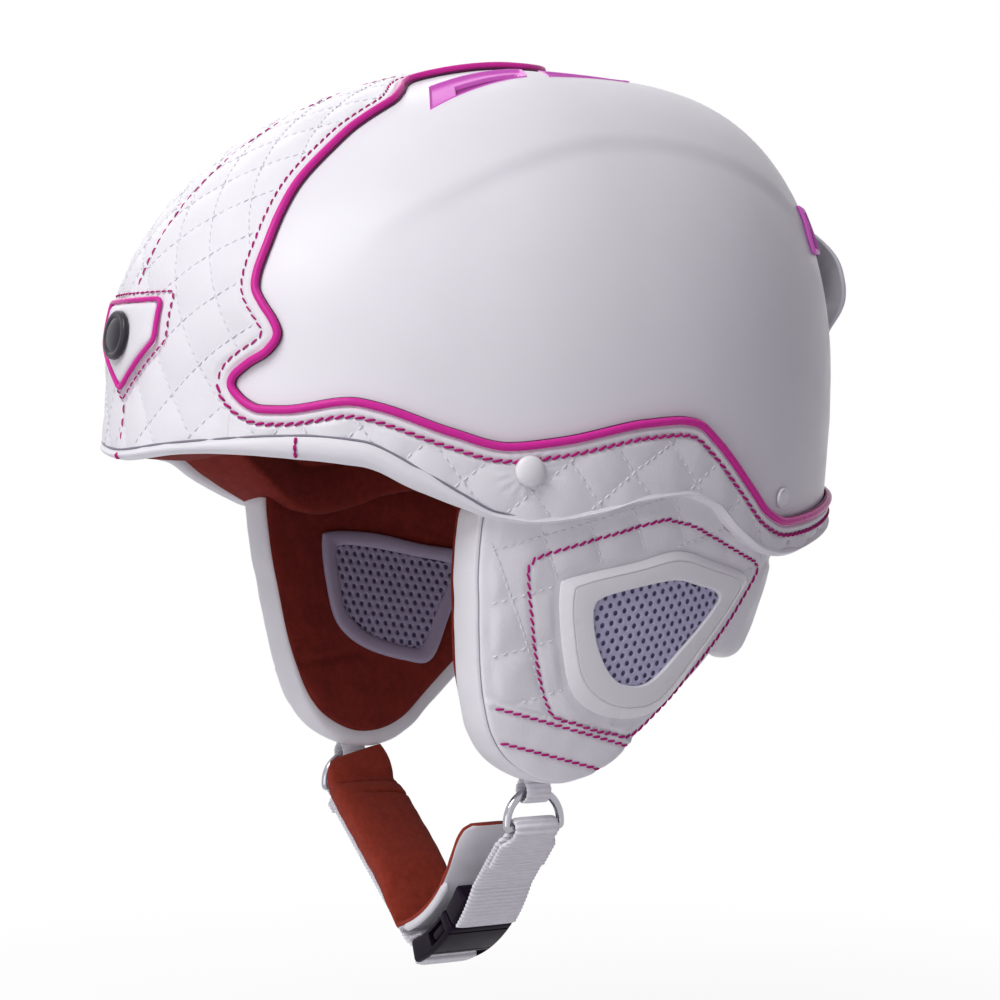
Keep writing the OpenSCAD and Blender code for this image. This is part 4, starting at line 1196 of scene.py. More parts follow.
PAD_CORNERS = [(-48, -16.5), (-25, -18.5), (0, -15.5), (24, -11.5), (40, -17), (56, -27.5),
               (70, -33.5), (66, -48), (50, -66), (22, -91), (8, -102.5), (-6, -107), (-20, -105),
               (-34, -95), (-42, -77), (-47, -47)]
PAD_MIDDLE = np.array([6.0, -55.0])
PAD_FLAT = (0.26, -30.7, 19.3)
PAD_STEEP = (0.46, -16.8, 19.0)
FRAME_OUTER = [(-19, -37.4), (-15, -33.2), (10, -28.5), (28, -25), (46, -29.2), (64, -34.8),
               (62, -42.3), (46, -61.7), (30, -80), (16, -84.5), (1, -82), (-10, -73.5), (-16, -56.2)]
FRAME_WINDOW = [(-6, -43.8), (-2, -40.2), (12, -37.2), (27, -35.3), (38, -37.3), (49, -40.9),
                (47, -46.8), (34, -60.1), (21, -71.4), (10, -71.8), (3, -67.1), (-2, -59.3),
                (-5, -51.5)]
INNER_OUTER = [(-24, -26.5), (-20, -22.5), (0, -23.5), (20, -28), (40, -32), (40, -38), (30, -56.5),
               (20, -74), (8, -74), (-10, -68), (-21, -58), (-24, -42)]
INNER_WINDOW = [(-18, -31), (-15, -28), (0, -29.5), (17, -33), (33, -36.5), (33, -40.5), (25, -54.5),
                (17, -68), (8, -68), (-7, -62.5), (-16, -54), (-18, -43)]
PINK_ROUND = [(-31, -28.5), (-24, -24.5), (16, -14.5), (26, -14.5), (37.5, -17.5), (60, -26.8),
              (70.5, -31), (70, -37), (54, -57.5), (22, -88.5), (8, -89.5), (-6, -85.5), (-17, -80.5),
              (-25, -60.5), (-31, -34.5)]
PATCH_EDGE = ((-50, -72.5), (40, -98.2))
PATCH_ROWS = (((-37.5, -78.5), (18, -95)), ((-34, -91), (6, -102.5)))
PAD_ROWS = [(0.06, 0), (0.16, 0), (0.27, 0), (0.38, 0), (0.48, 0), (0.57, 0), (0.65, 0.1), (0.72, 0.2),
            (0.79, 0.2), (0.86, 0.2), (0.92, 0.4), (0.96, 0.9), (0.985, 2.0), (0.997, 3.6),
            (1.003, 6.5), (1.005, 10), (1.003, 13.5), (0.997, 16.4), (0.985, 18.2), (0.96, 19.3),
            (0.92, 19.8), (0.85, 20), (0.76, 20), (0.6, 20), (0.4, 20), (0.2, 20), (0.06, 20)]
PAD_SEAM = 12
PAD_INNER_SEAM = 18
PAD_FINER = 4
EAR_LINING_ROWS = [(0.05, 22.3), (0.2, 22.3), (0.35, 22.3), (0.5, 22.3), (0.62, 22.3), (0.72, 22.3),
                   (0.8, 22.3), (0.88, 22.2), (0.94, 21.9), (0.98, 21.4), (1.0, 20.8), (1.0, 20.3),
                   (0.8, 20.3), (0.4, 20.3), (0.05, 20.3)]
LINING_EDGE = 10
INNER_DEPTH = 22.6


def pad_face(y, z):
    return 103 + 0.22 * (z + 10) - 0.0026 * (y - 5) ** 2


def on_pad(ring, depth):
    return np.stack([pad_face(ring[..., 0], ring[..., 1]) - depth, ring[..., 0], ring[..., 1]], -1)


def off_path(p, path):
    """How far points lie from a path."""
    q = p.reshape(-1, 2)
    near = np.full(len(q), np.inf)
    for a, b in zip(path[:-1], path[1:]):
        d = b - a
        u = np.clip(((q - a) @ d) / (d @ d), 0, 1)
        near = np.minimum(near, np.linalg.norm(q - a - u[:, None] * d, axis=1))
    return near.reshape(p.shape[:-1])


def inset(p, outline):
    """How far points lie inside an outline, less than 0 outside it."""
    loop = np.concatenate([outline, outline[:1]])
    y, z = p[..., 0], p[..., 1]
    crossings = np.zeros(p.shape[:-1], int)
    for a, b in zip(loop[:-1], loop[1:]):
        at = a[0] + (z - a[1]) * (b[0] - a[0]) / ((b[1] - a[1]) or 1e-9)
        crossings += ((a[1] > z) != (b[1] > z)) & (y < at)
    return off_path(p, loop) * np.where(crossings % 2, 1, -1)


def line_points(a, b, count=160):
    return np.array(a) + np.linspace(0, 1, count)[:, None] * (np.array(b) - np.array(a))


def below_patch(p):
    """How far points lie below the edge of the pad's lower patch."""
    a, b = np.array(PATCH_EDGE)
    d = unit(b - a)
    return (p[..., 0] - a[0]) * d[1] - (p[..., 1] - a[1]) * d[0]


def laid_on(grid, normals, path):
    """Points of a pad's face along a path in y and z, with their normals."""
    p, n = grid.reshape(-1, 3), normals.reshape(-1, 3)
    spots, ways = [], []
    for spot in path:
        d = (p[:, 1] - spot[0]) ** 2 + (p[:, 2] - spot[1]) ** 2
        near = np.argpartition(d, 5)[:5]
        w = 1 / (d[near] + 0.05)
        spots.append((w @ p[near, 0] / w.sum(), *spot))
        ways.append(unit(w @ n[near]))
    return np.array(spots), np.array(ways)


def both_pads(made, name, slot, replace=False):
    """Finishes a piece of the left pad and its copy on the right."""
    pair = [made, mirrored(made, name + "_right")]
    for side, piece in zip(("left", "right"), pair):
        piece.name = piece.data.name = f"{name}_{side}"
        finish_piece(piece, slot, *([f"{name}_{side}"] if replace else []))
    return pair


def ear_pads():
    outline = refined(PAD_CORNERS, 6, True)
    outline[:, 1] += 9 * smooth((outline[:, 1] + 34) / 14)
    rear = smooth((outline[:, 0] - 12) / 22) * smooth((outline[:, 1] + 46) / 14)
    outline += np.column_stack([10 * rear, 8 * rear])
    frame_loop = refined(FRAME_OUTER, 6, True)
    rings = [on_pad(PAD_MIDDLE + f * (outline - PAD_MIDDLE), depth) for f, depth in PAD_ROWS]
    seam = np.zeros((len(PAD_ROWS), len(outline)), bool)
    seam[:6] = True
    seam[[PAD_SEAM, PAD_INNER_SEAM]] = True
    seam[21:] = True
    grid = finer(inflated("ear_pad", rings, seam, 1.4), PAD_FINER, 4)
    row = np.arange(len(grid))[:, None] / PAD_FINER
    yz = grid[..., 1:]
    y, z = yz[..., 0], yz[..., 1]
    outside = -inset(yz, frame_loop)
    below = below_patch(yz)
    flat = (z - PAD_FLAT[0] * y - PAD_FLAT[1]) / PAD_FLAT[2]
    steep = (y + PAD_STEEP[0] * z - PAD_STEEP[1]) / PAD_STEEP[2]
    free = smooth((inset(yz, outline) - 3.5) / 4) * smooth((outside - 1) / 3) * smooth(-below / 1.5)
    height = 1.1 * quilted(flat, steep) * free + smooth(below / 0.8) * smooth((outside - 2) / 3)
    pink_round = refined(PINK_ROUND, 14, True)
    rows = [line_points(*ends) for ends in PATCH_ROWS]
    for path, deep in [(pink_round, 0.55), (rows[0], 0.5), (rows[1], 0.5)]:
        height -= deep * np.exp(-(off_path(yz, path) / 1.1) ** 2) * smooth((outside - 0.5) / 1.5)
    height = height * smooth(PAD_SEAM - row) - 1.3 * np.exp(-((row - PAD_SEAM) / 0.35) ** 2)
    height = height + 0.18 * ripple(y / 3.1, z / 3.7) * smooth((outside - 2) / 4)
    grid, normals = push(grid, height)
    for piece in both_pads(loft("ear_pad", grid, LEATHER), "ear_pad", "leather_white", True):
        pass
    seam_row = PAD_FINER * PAD_SEAM
    line, ways = grid[seam_row], normals[seam_row]
    made = tube("pad_seam", line + 0.1 * ways, ways, 0.32, 8, SEAM_AND_SHADOW_GREY, True)
    both_pads(made, "pad_seam", "leather_white")

    top = slice(0, seam_row)
    pale = []
    for n in range(-12, 13):
        u = np.linspace(-52, 74, 500)
        v = np.linspace(-112, -4, 500)
        flat = PAD_FLAT[2] * n + PAD_FLAT[1] + PAD_FLAT[0] * u
        steep = PAD_STEEP[2] * n + PAD_STEEP[1] - PAD_STEEP[0] * v
        for path in (np.column_stack([u, flat]), np.column_stack([steep, v])):
            keep = (inset(path, outline) > 4) & (inset(path, frame_loop) < -1.5) & (below_patch(path) < -1.5)
            for part, _ in runs(path, path, keep):
                pale.append(laid_on(grid[top], normals[top], part[::3]))
    made = stitch_rows("pad_quilting", pale, WHITE_THREAD, 2.1, 1.0, 0.26)
    both_pads(made, "pad_quilting", "leather_white")
    pink = []
    closed = np.concatenate([pink_round, pink_round[:1]])
    for path in (closed, *rows):
        keep = (inset(path, outline) > 1.2) & (inset(path, frame_loop) < -0.8)
        pink += [laid_on(grid[top], normals[top], part) for part, _ in runs(path, path, keep)]
    made = stitch_rows("pad_stitching", pink, PINK_THREAD, 3.6, -0.4, 0.46, 18.0)
    both_pads(made, "pad_stitching", "piping_pink")


def ear_linings():
    outline = refined(PAD_CORNERS, 6, True)
    outline = PAD_MIDDLE + 0.925 * (outline - PAD_MIDDLE) - (2.2, 0)
    outline[:, 1] += 3.0 * smooth((-58 - outline[:, 1]) / 22) + 12 * smooth((outline[:, 1] + 36) / 14)
    rings = [on_pad(PAD_MIDDLE + f * (outline - PAD_MIDDLE), depth) for f, depth in EAR_LINING_ROWS]
    frame_loop = refined(INNER_OUTER, 6, True)
    held = np.zeros((len(rings), len(outline)), bool)
    held[:3] = True
    held[LINING_EDGE:] = True
    held |= inset(np.asarray(rings)[..., 1:], frame_loop) > -1
    grid = finer(inflated("ear_lining", rings, held, 2.0), PAD_FINER, 3)
    yz = grid[..., 1:]
    row = np.arange(len(grid))[:, None] / PAD_FINER
    outside = smooth((-inset(yz, frame_loop) - 1) / 4) * smooth(LINING_EDGE - row)
    fold = np.exp(-(off_path(yz, line_points((-40, -73), (60, -62))) / 1.6) ** 2)
    height = outside * (0.35 * ripple(yz[..., 0] / 5, yz[..., 1] / 4) - fold)
    made = loft("ear_lining", push(grid, height)[0], LINING_RUST_PAINTED_SHADE)
    for piece in both_pads(made, "ear_lining", "lining_rust", True):
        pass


VENT_FRAME = ((0, 0), (0, 0.5), (0.01, 0.75), (0.03, 1.0), (0.26, 2.75), (0.285, 2.88), (0.31, 2.9),
              (0.318, 2.55), (0.342, 2.5), (0.35, 2.9), (0.37, 2.95), (0.9, 2.95), (0.95, 2.9),
              (0.985, 2.6), (1, 2.1), (1, 0))
INNER_FRAME = ((0, 0), (0, 1.1), (0.04, 1.6), (0.15, 2.0), (0.35, 2.2), (0.6, 2.15), (0.8, 1.9),
               (0.93, 1.5), (1, 1.0), (1, 0))


def pad_frame(name, outer, window, section, depth, way, finish, slot):
    """A moulded ring on a pad's face: section gives the way from outer edge to window, and the height."""
    outer, window = refined(outer, 14, True), refined(window, 14, True)
    rings = [on_pad(outer + g * (window - outer), depth - way * h) for g, h in section]
    made = loft(name, rings, finish, closed=True)
    round_faces(made, 26)
    both_pads(made, name, slot, True)


MESH_PITCH = 3.7
MESH_HOLE_R = 0.98
MESH_SIDES = 24
MESH_REACH = 16
MESH_MIDDLE = (12, -51)
BACKING_ROWS = (1, 0.8, 0.6, 0.4, 0.2, 0.02)


def pad_mesh(name, window, depth, thick, way, lean, finish):
    """Spacer mesh: a plate of six-sided cells with a round hole in each, over a dark backing."""
    outline = refined(window, 6, True)
    turn = np.array([[math.cos(lean), -math.sin(lean)], [math.sin(lean), math.cos(lean)]])
    w = circle(MESH_SIDES)
    six = (MESH_PITCH / 2 / np.cos((w + math.pi / 6) % (math.pi / 3) - math.pi / 6))[:, None]
    round_dir = np.column_stack([np.cos(w), np.sin(w)])
    levels = [(six, 0.0), (0.55 * six + 0.45 * MESH_HOLE_R * 1.18, 0.0), (MESH_HOLE_R * 1.12, -0.06),
              (MESH_HOLE_R, -0.25), (MESH_HOLE_R, -thick)]
    points, faces = [], []
    for i in range(-MESH_REACH, MESH_REACH + 1):
        for j in range(-MESH_REACH, MESH_REACH + 1):
            spot = turn @ np.array([MESH_PITCH * (i + 0.5 * (j % 2)), MESH_PITCH * 0.866 * j]) + MESH_MIDDLE
            if inset(spot, outline) < -0.8:
                continue
            start = len(points)
            for r, h in levels:
                points.extend(on_pad(spot + (r * round_dir) @ turn.T, depth - way * (thick + h)))
            faces += grid_faces(len(levels), MESH_SIDES, True, start, flip=way > 0)
    start, middle = len(points), outline.mean(axis=0)
    cells = len(faces)
    for f in BACKING_ROWS:
        points.extend(on_pad(middle + f * (outline - middle), depth - way * 0.05))
    faces += grid_faces(len(BACKING_ROWS), len(outline), True, start, flip=way < 0)
    made = mesh_object(name, points, faces, finish)
    second_finish(made, MESH_BACK, np.arange(len(made.data.polygons)) >= cells)
    both_pads(made, name, "mesh_grey", True)


# Chin strap, in measures of x and z in the plane of the strap

STRAP_Y = -14.0
TAB_X = 70.0
RING_BAR_Z = -123.0
BEND = np.array([-17.5, -110.0])
BUCKLE_R = 70.0
BUCKLE_W = 27.0
BUCKLE_T = 9.0
PLUG_TOP = 34.0
PLUG_END = 45.4
SOCKET_MOUTH = 46.0
SOCKET_END = 71.0
SOCKET_BAR = 67.4
WEBBING_W = 25.0
WEBBING_T = 1.6
RING_LOOP_R = 2.7
RING_LOOP_HALF = 8.9
LAP_FROM = 8.0
LAP_OFF = 1.75
RIB = 1.8
RIB_DEPTH = 0.55
TAB_Z = -110.0
TAB_LOOP_R = 3.85
RING_R = 11.0
RING_WIRE_R = 1.5
PLUG_OUT = BUCKLE_R + BUCKLE_T / 2 - 0.5
PLUG_IN = BUCKLE_R - BUCKLE_T / 2 + 0.5
SOCKET_OUT = BUCKLE_R + BUCKLE_T / 2
SOCKET_IN = BUCKLE_R - BUCKLE_T / 2


def bent_point(angle, r):
    k = np.radians(angle)
    return BEND + np.stack([np.cos(k), -np.sin(k)], -1) * np.asarray(r)[..., None]


FAR_END = bent_point(SOCKET_END + 2.2, BUCKLE_R - 1)


def ribbon(name, path, half, t, body, *nodes):
    """Webbing along a path, with its ribs across it. half gives half the width along the way."""
    flat = rounded(resampled(path, 0.2), 12)
    s = run_along(flat)
    d = unit(np.gradient(flat, axis=0))
    n = np.column_stack([-d[:, 1], d[:, 0]])
    w = circle(24)
    across = half(s)[:, None] * spow(np.cos(w), 0.35)[None]
    ribs = t / 2 * (1 + RIB_DEPTH * np.cos(2 * math.pi * s / RIB))
    thick = ribs[:, None] * spow(np.sin(w), 0.5)[None]
    rings = np.stack([flat[:, :1] + n[:, :1] * thick, STRAP_Y + across, flat[:, 1:] + n[:, 1:] * thick], -1)
    finish_piece(loft(name, rings, WEBBING), "webbing_white", *nodes, body=body)


def ringed_webbing(name, side, end, lap, rest, width, body):
    """Webbing from a folded end of length lap, up and round a ring's bar, down towards end and along rest."""
    eye = np.array([side * TAB_X, RING_BAR_Z])
    down = unit(end - eye)
    out = np.array([-down[1], down[0]])
    out = out * np.sign(out @ (eye - BEND))
    w = np.linspace(0, math.pi, 30)
    bow = eye + RING_LOOP_R * (np.cos(w)[:, None] * out - np.sin(w)[:, None] * down)
    fold = [eye + down * lap + out * LAP_OFF, eye + down * LAP_FROM + out * LAP_OFF]
    path = np.concatenate([fold, bow, [eye + down * LAP_FROM], rest])
    reach = np.linalg.norm(resampled(path, 0.25) - eye, axis=1)

    def half(s):
        far = np.interp(s, np.linspace(0, s[-1], len(reach)), reach)
        return RING_LOOP_HALF + (width(s, far) - RING_LOOP_HALF) * smooth((far - 3.5) / 5)
    ribbon(name, path, half, WEBBING_T, body, name)


def near_strap():
    lie = PLUG_OUT + 0.3 + WEBBING_T / 2
    arc = bent_point(np.linspace(PLUG_TOP - 5, PLUG_END - 1, 30), lie)
    ringed_webbing("near_webbing", 1, arc[0], 19.0, arc,
                   lambda s, far: WEBBING_W / 2 - 0.9 * (s < 18), "near_strap")
    tail = np.concatenate([[bent_point(37.2, lie - 0.4)], [bent_point(37.25, 68.0)],
                           bent_point(np.linspace(37.4, PLUG_END - 2, 14), PLUG_IN - 0.3 - WEBBING_T / 2)])
    ribbon("near_webbing_tail", tail, lambda s: 0 * s + WEBBING_W / 2 - 1.5, WEBBING_T * 0.8, "near_strap")


def far_strap_webbing():
    outer = bent_point(np.linspace(SOCKET_END + 2.4, SOCKET_BAR, 14), SOCKET_OUT - 0.4)
    inner = bent_point(np.linspace(SOCKET_BAR, SOCKET_END + 2.6, 14), SOCKET_IN - 0.4 - WEBBING_T / 2)
    ringed_webbing("far_webbing", -1, FAR_END, 12.0, np.concatenate([[FAR_END], outer, inner]),
                   lambda s, far: WEBBING_W / 2 - 1.5 * smooth((far - 84) / 6), "far_strap")


def bent_block(name, start, stop, r_in, r_out, y_in, y_out, soft=0.7, end_soft=0.6):
    """A block bent round the strap's middle, with rounded edges."""
    mid_r, mid_y = (r_in + r_out) / 2, (y_in + y_out) / 2
    half_r, half_y = (r_out - r_in) / 2, (y_out - y_in) / 2
    quarter = np.linspace(0, math.pi / 2, 5)
    section = []
    for sr, sy, turn in ((1, 1, 0), (-1, 1, math.pi / 2), (-1, -1, math.pi), (1, -1, 1.5 * math.pi)):
        section += [(sr * (half_r - soft) + soft * math.cos(k + turn),
                     sy * (half_y - soft) + soft * math.sin(k + turn)) for k in quarter]
    section = np.array(section)
    cap = math.degrees(end_soft / mid_r)
    ends = [(cap * (1 - math.sin(k)), end_soft * (1 - math.cos(k))) for k in quarter]
    steps = [(start + back, shrink) for back, shrink in ends[::-1]]
    steps += [(a, 0) for a in np.linspace(start + cap, stop - cap, max(int((stop - start) / 1.2), 2))[1:-1]]
    steps += [(stop - back, shrink) for back, shrink in ends]
    rings = []
    for angle, shrink in steps:
        r = mid_r + section[:, 0] * (1 - shrink / half_r)
        y = mid_y + section[:, 1] * (1 - shrink / half_y)
        p = bent_point(np.full(len(r), angle), r)
        rings.append(np.column_stack([p[:, 0], STRAP_Y + y, p[:, 1]]))
    return loft(name, rings, BLACK)


def block_finish(made, body, name):
    face_out(made)
    round_faces(made, 32)
    finish_piece(made, "buckle_black", name, body=body)


def buckle():
    slot = WEBBING_W / 2 - 0.9
    recess = WEBBING_W / 2 - 0.6
    plug_half, socket_half = BUCKLE_W / 2 - 0.4, BUCKLE_W / 2
    plug = bent_block("buckle_plug", PLUG_TOP, PLUG_END, PLUG_IN, PLUG_OUT, -plug_half, plug_half, 1.4, 1.2)
    for a in (PLUG_TOP + 2.2, PLUG_TOP + 6.6):
        cut_away(plug, bent_block("cut", a, a + 2.1, PLUG_IN - 1, PLUG_OUT + 1, -slot, slot, 0.2, 0.2))
    guide = bent_block("guide", PLUG_END - 0.8, 61.5, BUCKLE_R - 2, BUCKLE_R + 2, -3.4, 3.4, 0.8, 1.5)
    block_finish(joined("buckle_plug", [plug, guide]), "near_strap", "buckle_plug")
    for side, name in ((-1, "front"), (1, "rear")):
        reach = sorted((side * 7.6, side * 10))
        shoulder = sorted((side * 8.6, side * 13.2))
        arm = bent_block("arm", PLUG_END + 0.5, 58.5, BUCKLE_R - 2, BUCKLE_R + 2, *reach, 0.6, 0.6)
        grip = bent_block("grip", 50, 57, BUCKLE_R - 1.8, BUCKLE_R + 1.8, *shoulder, 1.2, 1.2)
        block_finish(joined("buckle_arm_" + name, [arm, grip]), "release_arm_" + name, "buckle_arm_" + name)
    socket = bent_block("buckle_socket", SOCKET_MOUTH, SOCKET_END, SOCKET_IN, SOCKET_OUT,
                        -socket_half, socket_half, 1.6, 1.2)
    cuts = [(SOCKET_MOUTH - 1, 63.5, BUCKLE_R - 2.8, BUCKLE_R + 2.8, 11.6),
            (49, 58.8, BUCKLE_R - 2.6, BUCKLE_R + 2.6, BUCKLE_W),
            (66, 68.8, SOCKET_IN - 1, SOCKET_OUT + 1, slot),
            (62, SOCKET_END + 1, SOCKET_OUT - 1.4, SOCKET_OUT + 1, recess),
            (48.2, 48.9, SOCKET_OUT - 0.5, SOCKET_OUT + 1, BUCKLE_W),
            (60.2, 60.7, SOCKET_OUT - 0.4, SOCKET_OUT + 1, BUCKLE_W)]
    for *cut, half in cuts:
        cut_away(socket, bent_block("cut", *cut, -half, half, 0.15, 0.15))
    block_finish(socket, "far_strap", "buckle_socket")


CHIN_PAD_T = 11.0
CHIN_HALF = 15.0
CHIN_TOP = 6.5
CHIN_ROWS = 60
CHIN_SIDES = 32
CREASES = ((19.0, -0.8), (27.0, -0.3))
TONGUE_R = SOCKET_IN - WEBBING_T - 3.2
TONGUE_T = 3.4
TONGUE_FROM = 77.0
TONGUE_TIP = 15.0
EDGING_END = 38.0
EDGING_R = 1.6
FAR_RUN = 74.0


def tongue_half(a):
    """Half the tongue's width along its bend, rounded at the tip."""
    end = np.clip((a - TONGUE_TIP) / 10.3, 0, 1)
    grow = 0.6 + 0.4 * np.sqrt(end * (2 - end))
    return CHIN_HALF * grow * (1 - 0.1 * (TONGUE_FROM - a) / (TONGUE_FROM - TONGUE_TIP))


def chin_rows():
    """Rows of the padded part: middle in x and z, the way it thickens, thickness, half width and slant."""
    rows = []
    for f in np.linspace(0, 1, 9):
        grow = math.sqrt(f * (2 - f))
        wide = CHIN_HALF * (0.68 + 0.26 * grow)
        rows.append((5 - TAB_X, TAB_Z + 1 - 7 * f, 1, 0, 2 + 4.5 * grow, wide, 2.4 * (1 - f)))
    eye = np.array([-TAB_X, RING_BAR_Z])
    down = unit(FAR_END - eye)
    up = np.array([-down[1], down[0]])
    for s in np.linspace(CHIN_TOP, FAR_RUN, 46):
        end = min((s - CHIN_TOP) / 8.5, 1)
        grow = 0.6 + 0.4 * math.sqrt(end * (2 - end))
        thick = CHIN_PAD_T + (TONGUE_T - CHIN_PAD_T) * smooth((s - 52) / 24)
        p = eye + down * s + up * (WEBBING_T + 0.4)
        rows.append((*p, *up, thick * grow, CHIN_HALF * (0.85 + 0.15 * grow), 0))
    rows = np.array(rows)
    run = run_along(rows[:, :2])
    even = np.linspace(0, run[-1], CHIN_ROWS)
    rows = between(even, run, rows)
    rows[:24] = rounded(rows[:24], 12)
    return rows, even[1]


def chin_pad():
    w = circle(CHIN_SIDES)
    u, v = spow(np.cos(w), 0.6), spow(np.sin(w), 0.6)

    def ring(p, way, t, wide, slant=0.0):
        q = p + way * (t / 2 * (1 + v))[:, None]
        return np.column_stack([q[:, 0], STRAP_Y + u * wide, q[:, 1] + slant * u])
    rows, step = chin_rows()
    rings = [ring(row[:2], unit(row[2:4]), *row[4:]) for row in rows]
    for a in np.linspace(TONGUE_FROM, TONGUE_TIP, 46):
        k = math.radians(a)
        way = np.array([-math.cos(k), math.sin(k)])
        rings.append(ring(bent_point(a, TONGUE_R), way, TONGUE_T, tongue_half(a)))
    held = np.zeros((len(rings), CHIN_SIDES), bool)
    held[:, 0] = True
    held[:, CHIN_SIDES // 2:] = True
    held[CHIN_ROWS:] = True
    held[:4] = True
    grid = finer(inflated("chin_pad", rings, held, 1.8), 4, 2)
    row = np.arange(len(grid))[:, None] / 4
    turn = circle(grid.shape[1])[None]
    height = 0.22 * ripple(row / 1.8, 2.2 * turn)
    for at, start in CREASES:
        across = smooth((np.cos(turn) - start) / 0.4) * smooth(np.sin(turn) * 3)
        height = height - 1.5 * across * np.exp(-((row * step - at - 1.5 * np.cos(turn)) / 0.75) ** 2)
    made = loft("chin_pad", push(grid, height)[0], RUST)
    middle = circle(grid.shape[1]) + math.pi / grid.shape[1]
    second_finish(made, SMOOTH_LEATHER, np.tile(np.sin(middle) < -0.3, len(grid) - 1))
    finish_piece(made, "lining_rust", "chin_pad", body="far_strap")


def tongue_edging():
    """A cord along the near edge of the tongue, thinner at its ends."""
    a = np.linspace(TONGUE_FROM - 4, EDGING_END, 60)
    mid = bent_point(a, np.full(60, TONGUE_R))
    path = np.column_stack([mid[:, 0], STRAP_Y - tongue_half(a) + 1.2, mid[:, 1]])
    outward = unit((path - (BEND[0], STRAP_Y, BEND[1])) * (1, 0, 1))
    fat = EDGING_R * np.sqrt(np.clip(np.minimum(np.arange(60), 59 - np.arange(60)) / 4, 0.02, 1))
    made = tube("tongue_edging", path, outward, fat, 12, SMOOTH_LEATHER)
    finish_piece(made, "leather_white", body="far_strap")


def ring_tabs():
    """Webbing loops sewn into the ear pads, round the tops of the strap rings."""
    w = np.radians(np.linspace(58, -238, 40))
    loop = TAB_LOOP_R * np.column_stack([np.cos(w), np.sin(w)])
    path = np.concatenate([[(1.2, 9), (1.3, 5.2)], loop, [(-1.3, 5.2), (-1.2, 9)]]) + (TAB_X, TAB_Z)
    for side, name in ((1, "ring_tab_left"), (-1, "ring_tab_right")):
        ribbon(name, path * (side, 1), lambda s: 0 * s + 5.0, 0.9, "helmet", name)


def strap_rings():
    """D-shaped rings of round wire."""
    w = np.linspace(0, math.pi, 60)
    arc = np.column_stack([RING_R * np.cos(w), TAB_Z - RING_R + RING_R * np.sin(w)])
    ring = np.concatenate([arc, [(-RING_R, RING_BAR_Z), (RING_R, RING_BAR_Z)]])
    for side, name, body in ((1, "strap_ring_left", "near_strap"), (-1, "strap_ring_right", "far_strap")):
        path = np.column_stack([np.full(len(ring), side * TAB_X), STRAP_Y + ring[:, 0], ring[:, 1]])
        path = rounded(resampled(path, 0.5, True), 3, True)
        made = tube(name, path, np.tile((1.0, 0, 0), (len(path), 1)), RING_WIRE_R, 20, CHROME, True)
        finish_piece(made, "chrome", name, body=body)


# Camera, light and stage

CAMERA_TURN = 60.0
CAMERA_RISE = 1.0
CAMERA_REACH = 1.1
CAMERA_LENS = 105.1
CAMERA_SENSOR = 36.0
AIM_RIGHT = 0.0117
AIM_DOWN = 0.0087
FLOOR_Z = -236.0
FLOOR_R = 0.55
FLOOR_FADE = 0.43
FLOOR_GLOW = 0.88
FLOOR_SIDES = 96

# Name, direction (right, up and towards the camera), distance and size in metres, watts
LAMPS = (("key", (-0.40, 0.72, 0.58), 1.6, 0.9, 18.8),
         ("front", (-0.6, -0.12, 0.75), 1.6, 0.9, 4.0),
         ("fill", (-0.1, 0.05, 1.0), 1.8, 1.2, 2.0),
         ("rear", (-0.3, 0.6, -0.75), 1.8, 1.2, 7.0))


def seen_directly(made):
    """1 for rays from the camera, straight or by way of metal or glass."""
    paths = node(made, "ShaderNodeLightPath")
    seen = paths, "Is Camera Ray"
    for other in ("Is Glossy Ray", "Is Transmission Ray"):
        either = node(made, "ShaderNodeMath", operation="MAXIMUM")
        link(made, *seen, either, 0)
        link(made, paths, other, either, 1)
        seen = either, 0
    return seen


def mixed(made, share, first, second, end):
    """A surface that goes from one shader to another by a share."""
    mix = node(made, "ShaderNodeMixShader")
    link(made, *share, mix, 0)
    link(made, first, 0, mix, 1)
    link(made, second, 0, mix, 2)
    link(made, mix, 0, made.node_tree.nodes[end], "Surface")


def floor_finish():
    """Pale floor that fades into the white background and keeps a faint shadow."""
    made = material("floor_pale", (0.85, 0.85, 0.87), 0.9)
    place = node(made, "ShaderNodeTexCoord")
    far = node(made, "ShaderNodeVectorMath", operation="LENGTH")
    link(made, place, "Object", far, 0)
    fades = {"From Min": FLOOR_FADE * FLOOR_R, "From Max": FLOOR_R, "To Min": FLOOR_GLOW}
    fade = node(made, "ShaderNodeMapRange", **fades)
    link(made, far, "Value", fade, "Value")
    share = node(made, "ShaderNodeMath", operation="MULTIPLY")
    link(made, *seen_directly(made), share, 0)
    link(made, fade, "Result", share, 1)
    white = node(made, "ShaderNodeEmission", Strength=1.0)
    mixed(made, (share, 0), made.node_tree.nodes["Principled BSDF"], white, "Material Output")
    return made


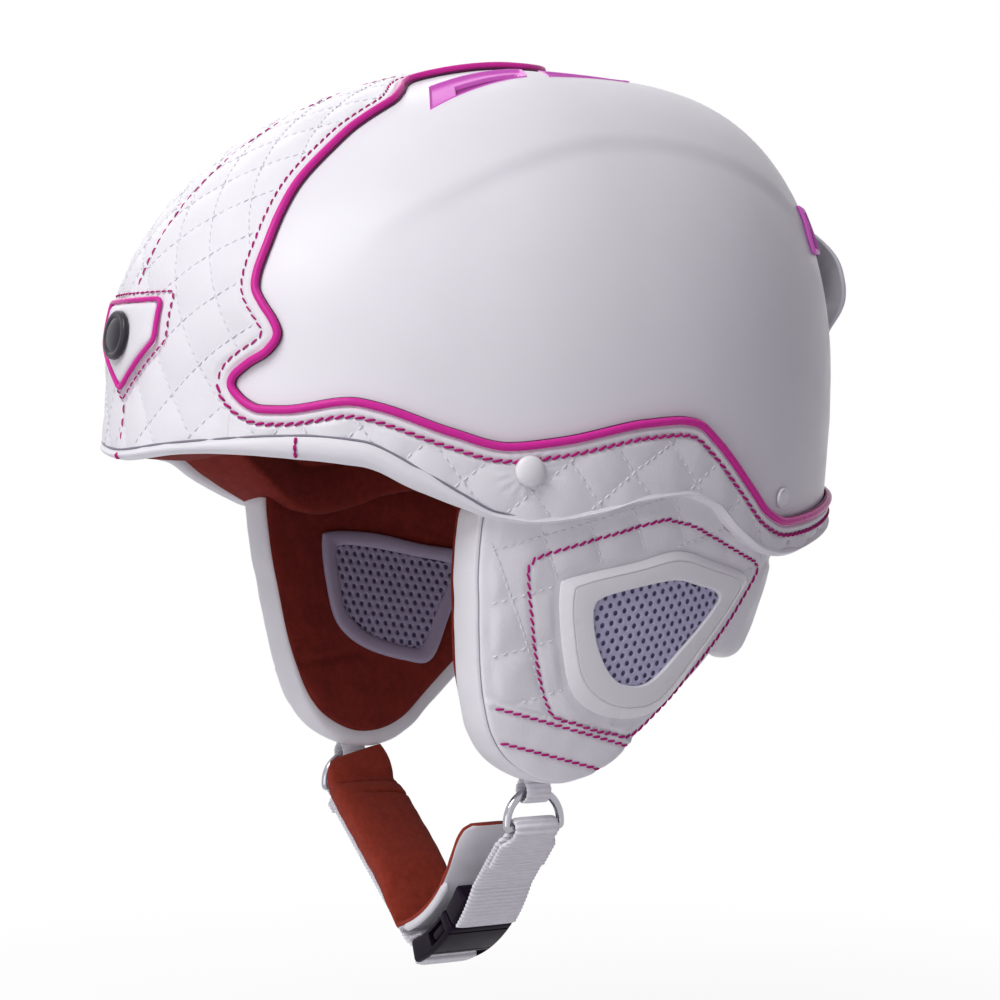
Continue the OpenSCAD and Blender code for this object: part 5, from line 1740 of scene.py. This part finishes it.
def camera_and_light():
    turn, rise = math.radians(CAMERA_TURN), math.radians(CAMERA_RISE)
    back = Vector((math.sin(turn) * math.cos(rise), -math.cos(turn) * math.cos(rise), math.sin(rise)))
    right = Vector((math.cos(turn), math.sin(turn), 0))
    up = back.cross(right)
    aim = right * AIM_RIGHT - up * AIM_DOWN
    cam = bpy.data.objects.new("camera", bpy.data.cameras.new("camera"))
    cam.data.lens = CAMERA_LENS
    cam.data.sensor_width = CAMERA_SENSOR
    cam.location = back * CAMERA_REACH
    cam.rotation_euler = (aim - cam.location).to_track_quat("-Z", "Y").to_euler()
    scene.collection.objects.link(cam)
    scene.camera = cam
    for name, toward, reach, size, watts in LAMPS:
        light = bpy.data.objects.new(name, bpy.data.lights.new(name, "AREA"))
        light.data.size = size
        light.data.energy = watts
        d = (right * toward[0] + up * toward[1] + back * toward[2]).normalized()
        light.location = d * reach
        light.rotation_euler = d.to_track_quat("Z", "Y").to_euler()
        scene.collection.objects.link(light)

    w = circle(FLOOR_SIDES)
    rim = np.column_stack([np.cos(w), np.sin(w), 0 * w]) * FLOOR_R / MM + (0, 0, FLOOR_Z)
    floor = mesh_object("floor", rim, [list(range(FLOOR_SIDES))], floor_finish())

    scene.view_settings.view_transform = "Standard"
    world = bpy.data.worlds.new("studio")
    scene.world = world
    world.use_nodes = True
    dim = node(world, "ShaderNodeBackground", Color=(0.92, 0.83, 1.0, 1), Strength=0.18)
    bright = node(world, "ShaderNodeBackground", Color=(1, 1, 1, 1))
    mixed(world, seen_directly(world), dim, bright, "World Output")


def finish_nodes():
    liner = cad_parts["foam_liner"].data
    liner.materials.clear()
    liner.materials.append(FOAM)


camera_and_light()
finish_nodes()
outer_shell()
crown_lining()
front_panel()
rim_band()
rim_binding()
shell_piping()
trim_rows()
badge_patch()
front_badge()
vent_insert("front_vent_left", VENT_FRONT)
vent_insert("rear_vent_left", VENT_REAR)
exhaust_vents()
side_caps("trim_snaps", SNAP_TURN, SNAP_RISE, LEATHER_T + 2.5 * FIT_GAP, cap_profile(10.5, 3.2))
side_caps("shell_rivets", 121.0, -7.0, 0.0, RIVET_PROFILE)
goggle_loop()
neck_pad()
brow_pad()
ear_pads()
ear_linings()
rim_lining()
pad_frame("ear_vent_frame", FRAME_OUTER, FRAME_WINDOW, VENT_FRAME, -0.2, 1, FRAME_WHITE, "plastic_white")
pad_frame("ear_inner_frame", INNER_OUTER, INNER_WINDOW, INNER_FRAME, INNER_DEPTH, -1, FRAME_GREY,
          "frame_grey")
pad_mesh("ear_vent_mesh", FRAME_WINDOW, -1.0, 0.8, 1, 0.2, MESH)
pad_mesh("ear_inner_mesh", INNER_WINDOW, INNER_DEPTH + 0.2, 1.0, -1, -0.15, MESH_INNER)
ring_tabs()
strap_rings()
near_strap()
far_strap_webbing()
buckle()
chin_pad()
tongue_edging()
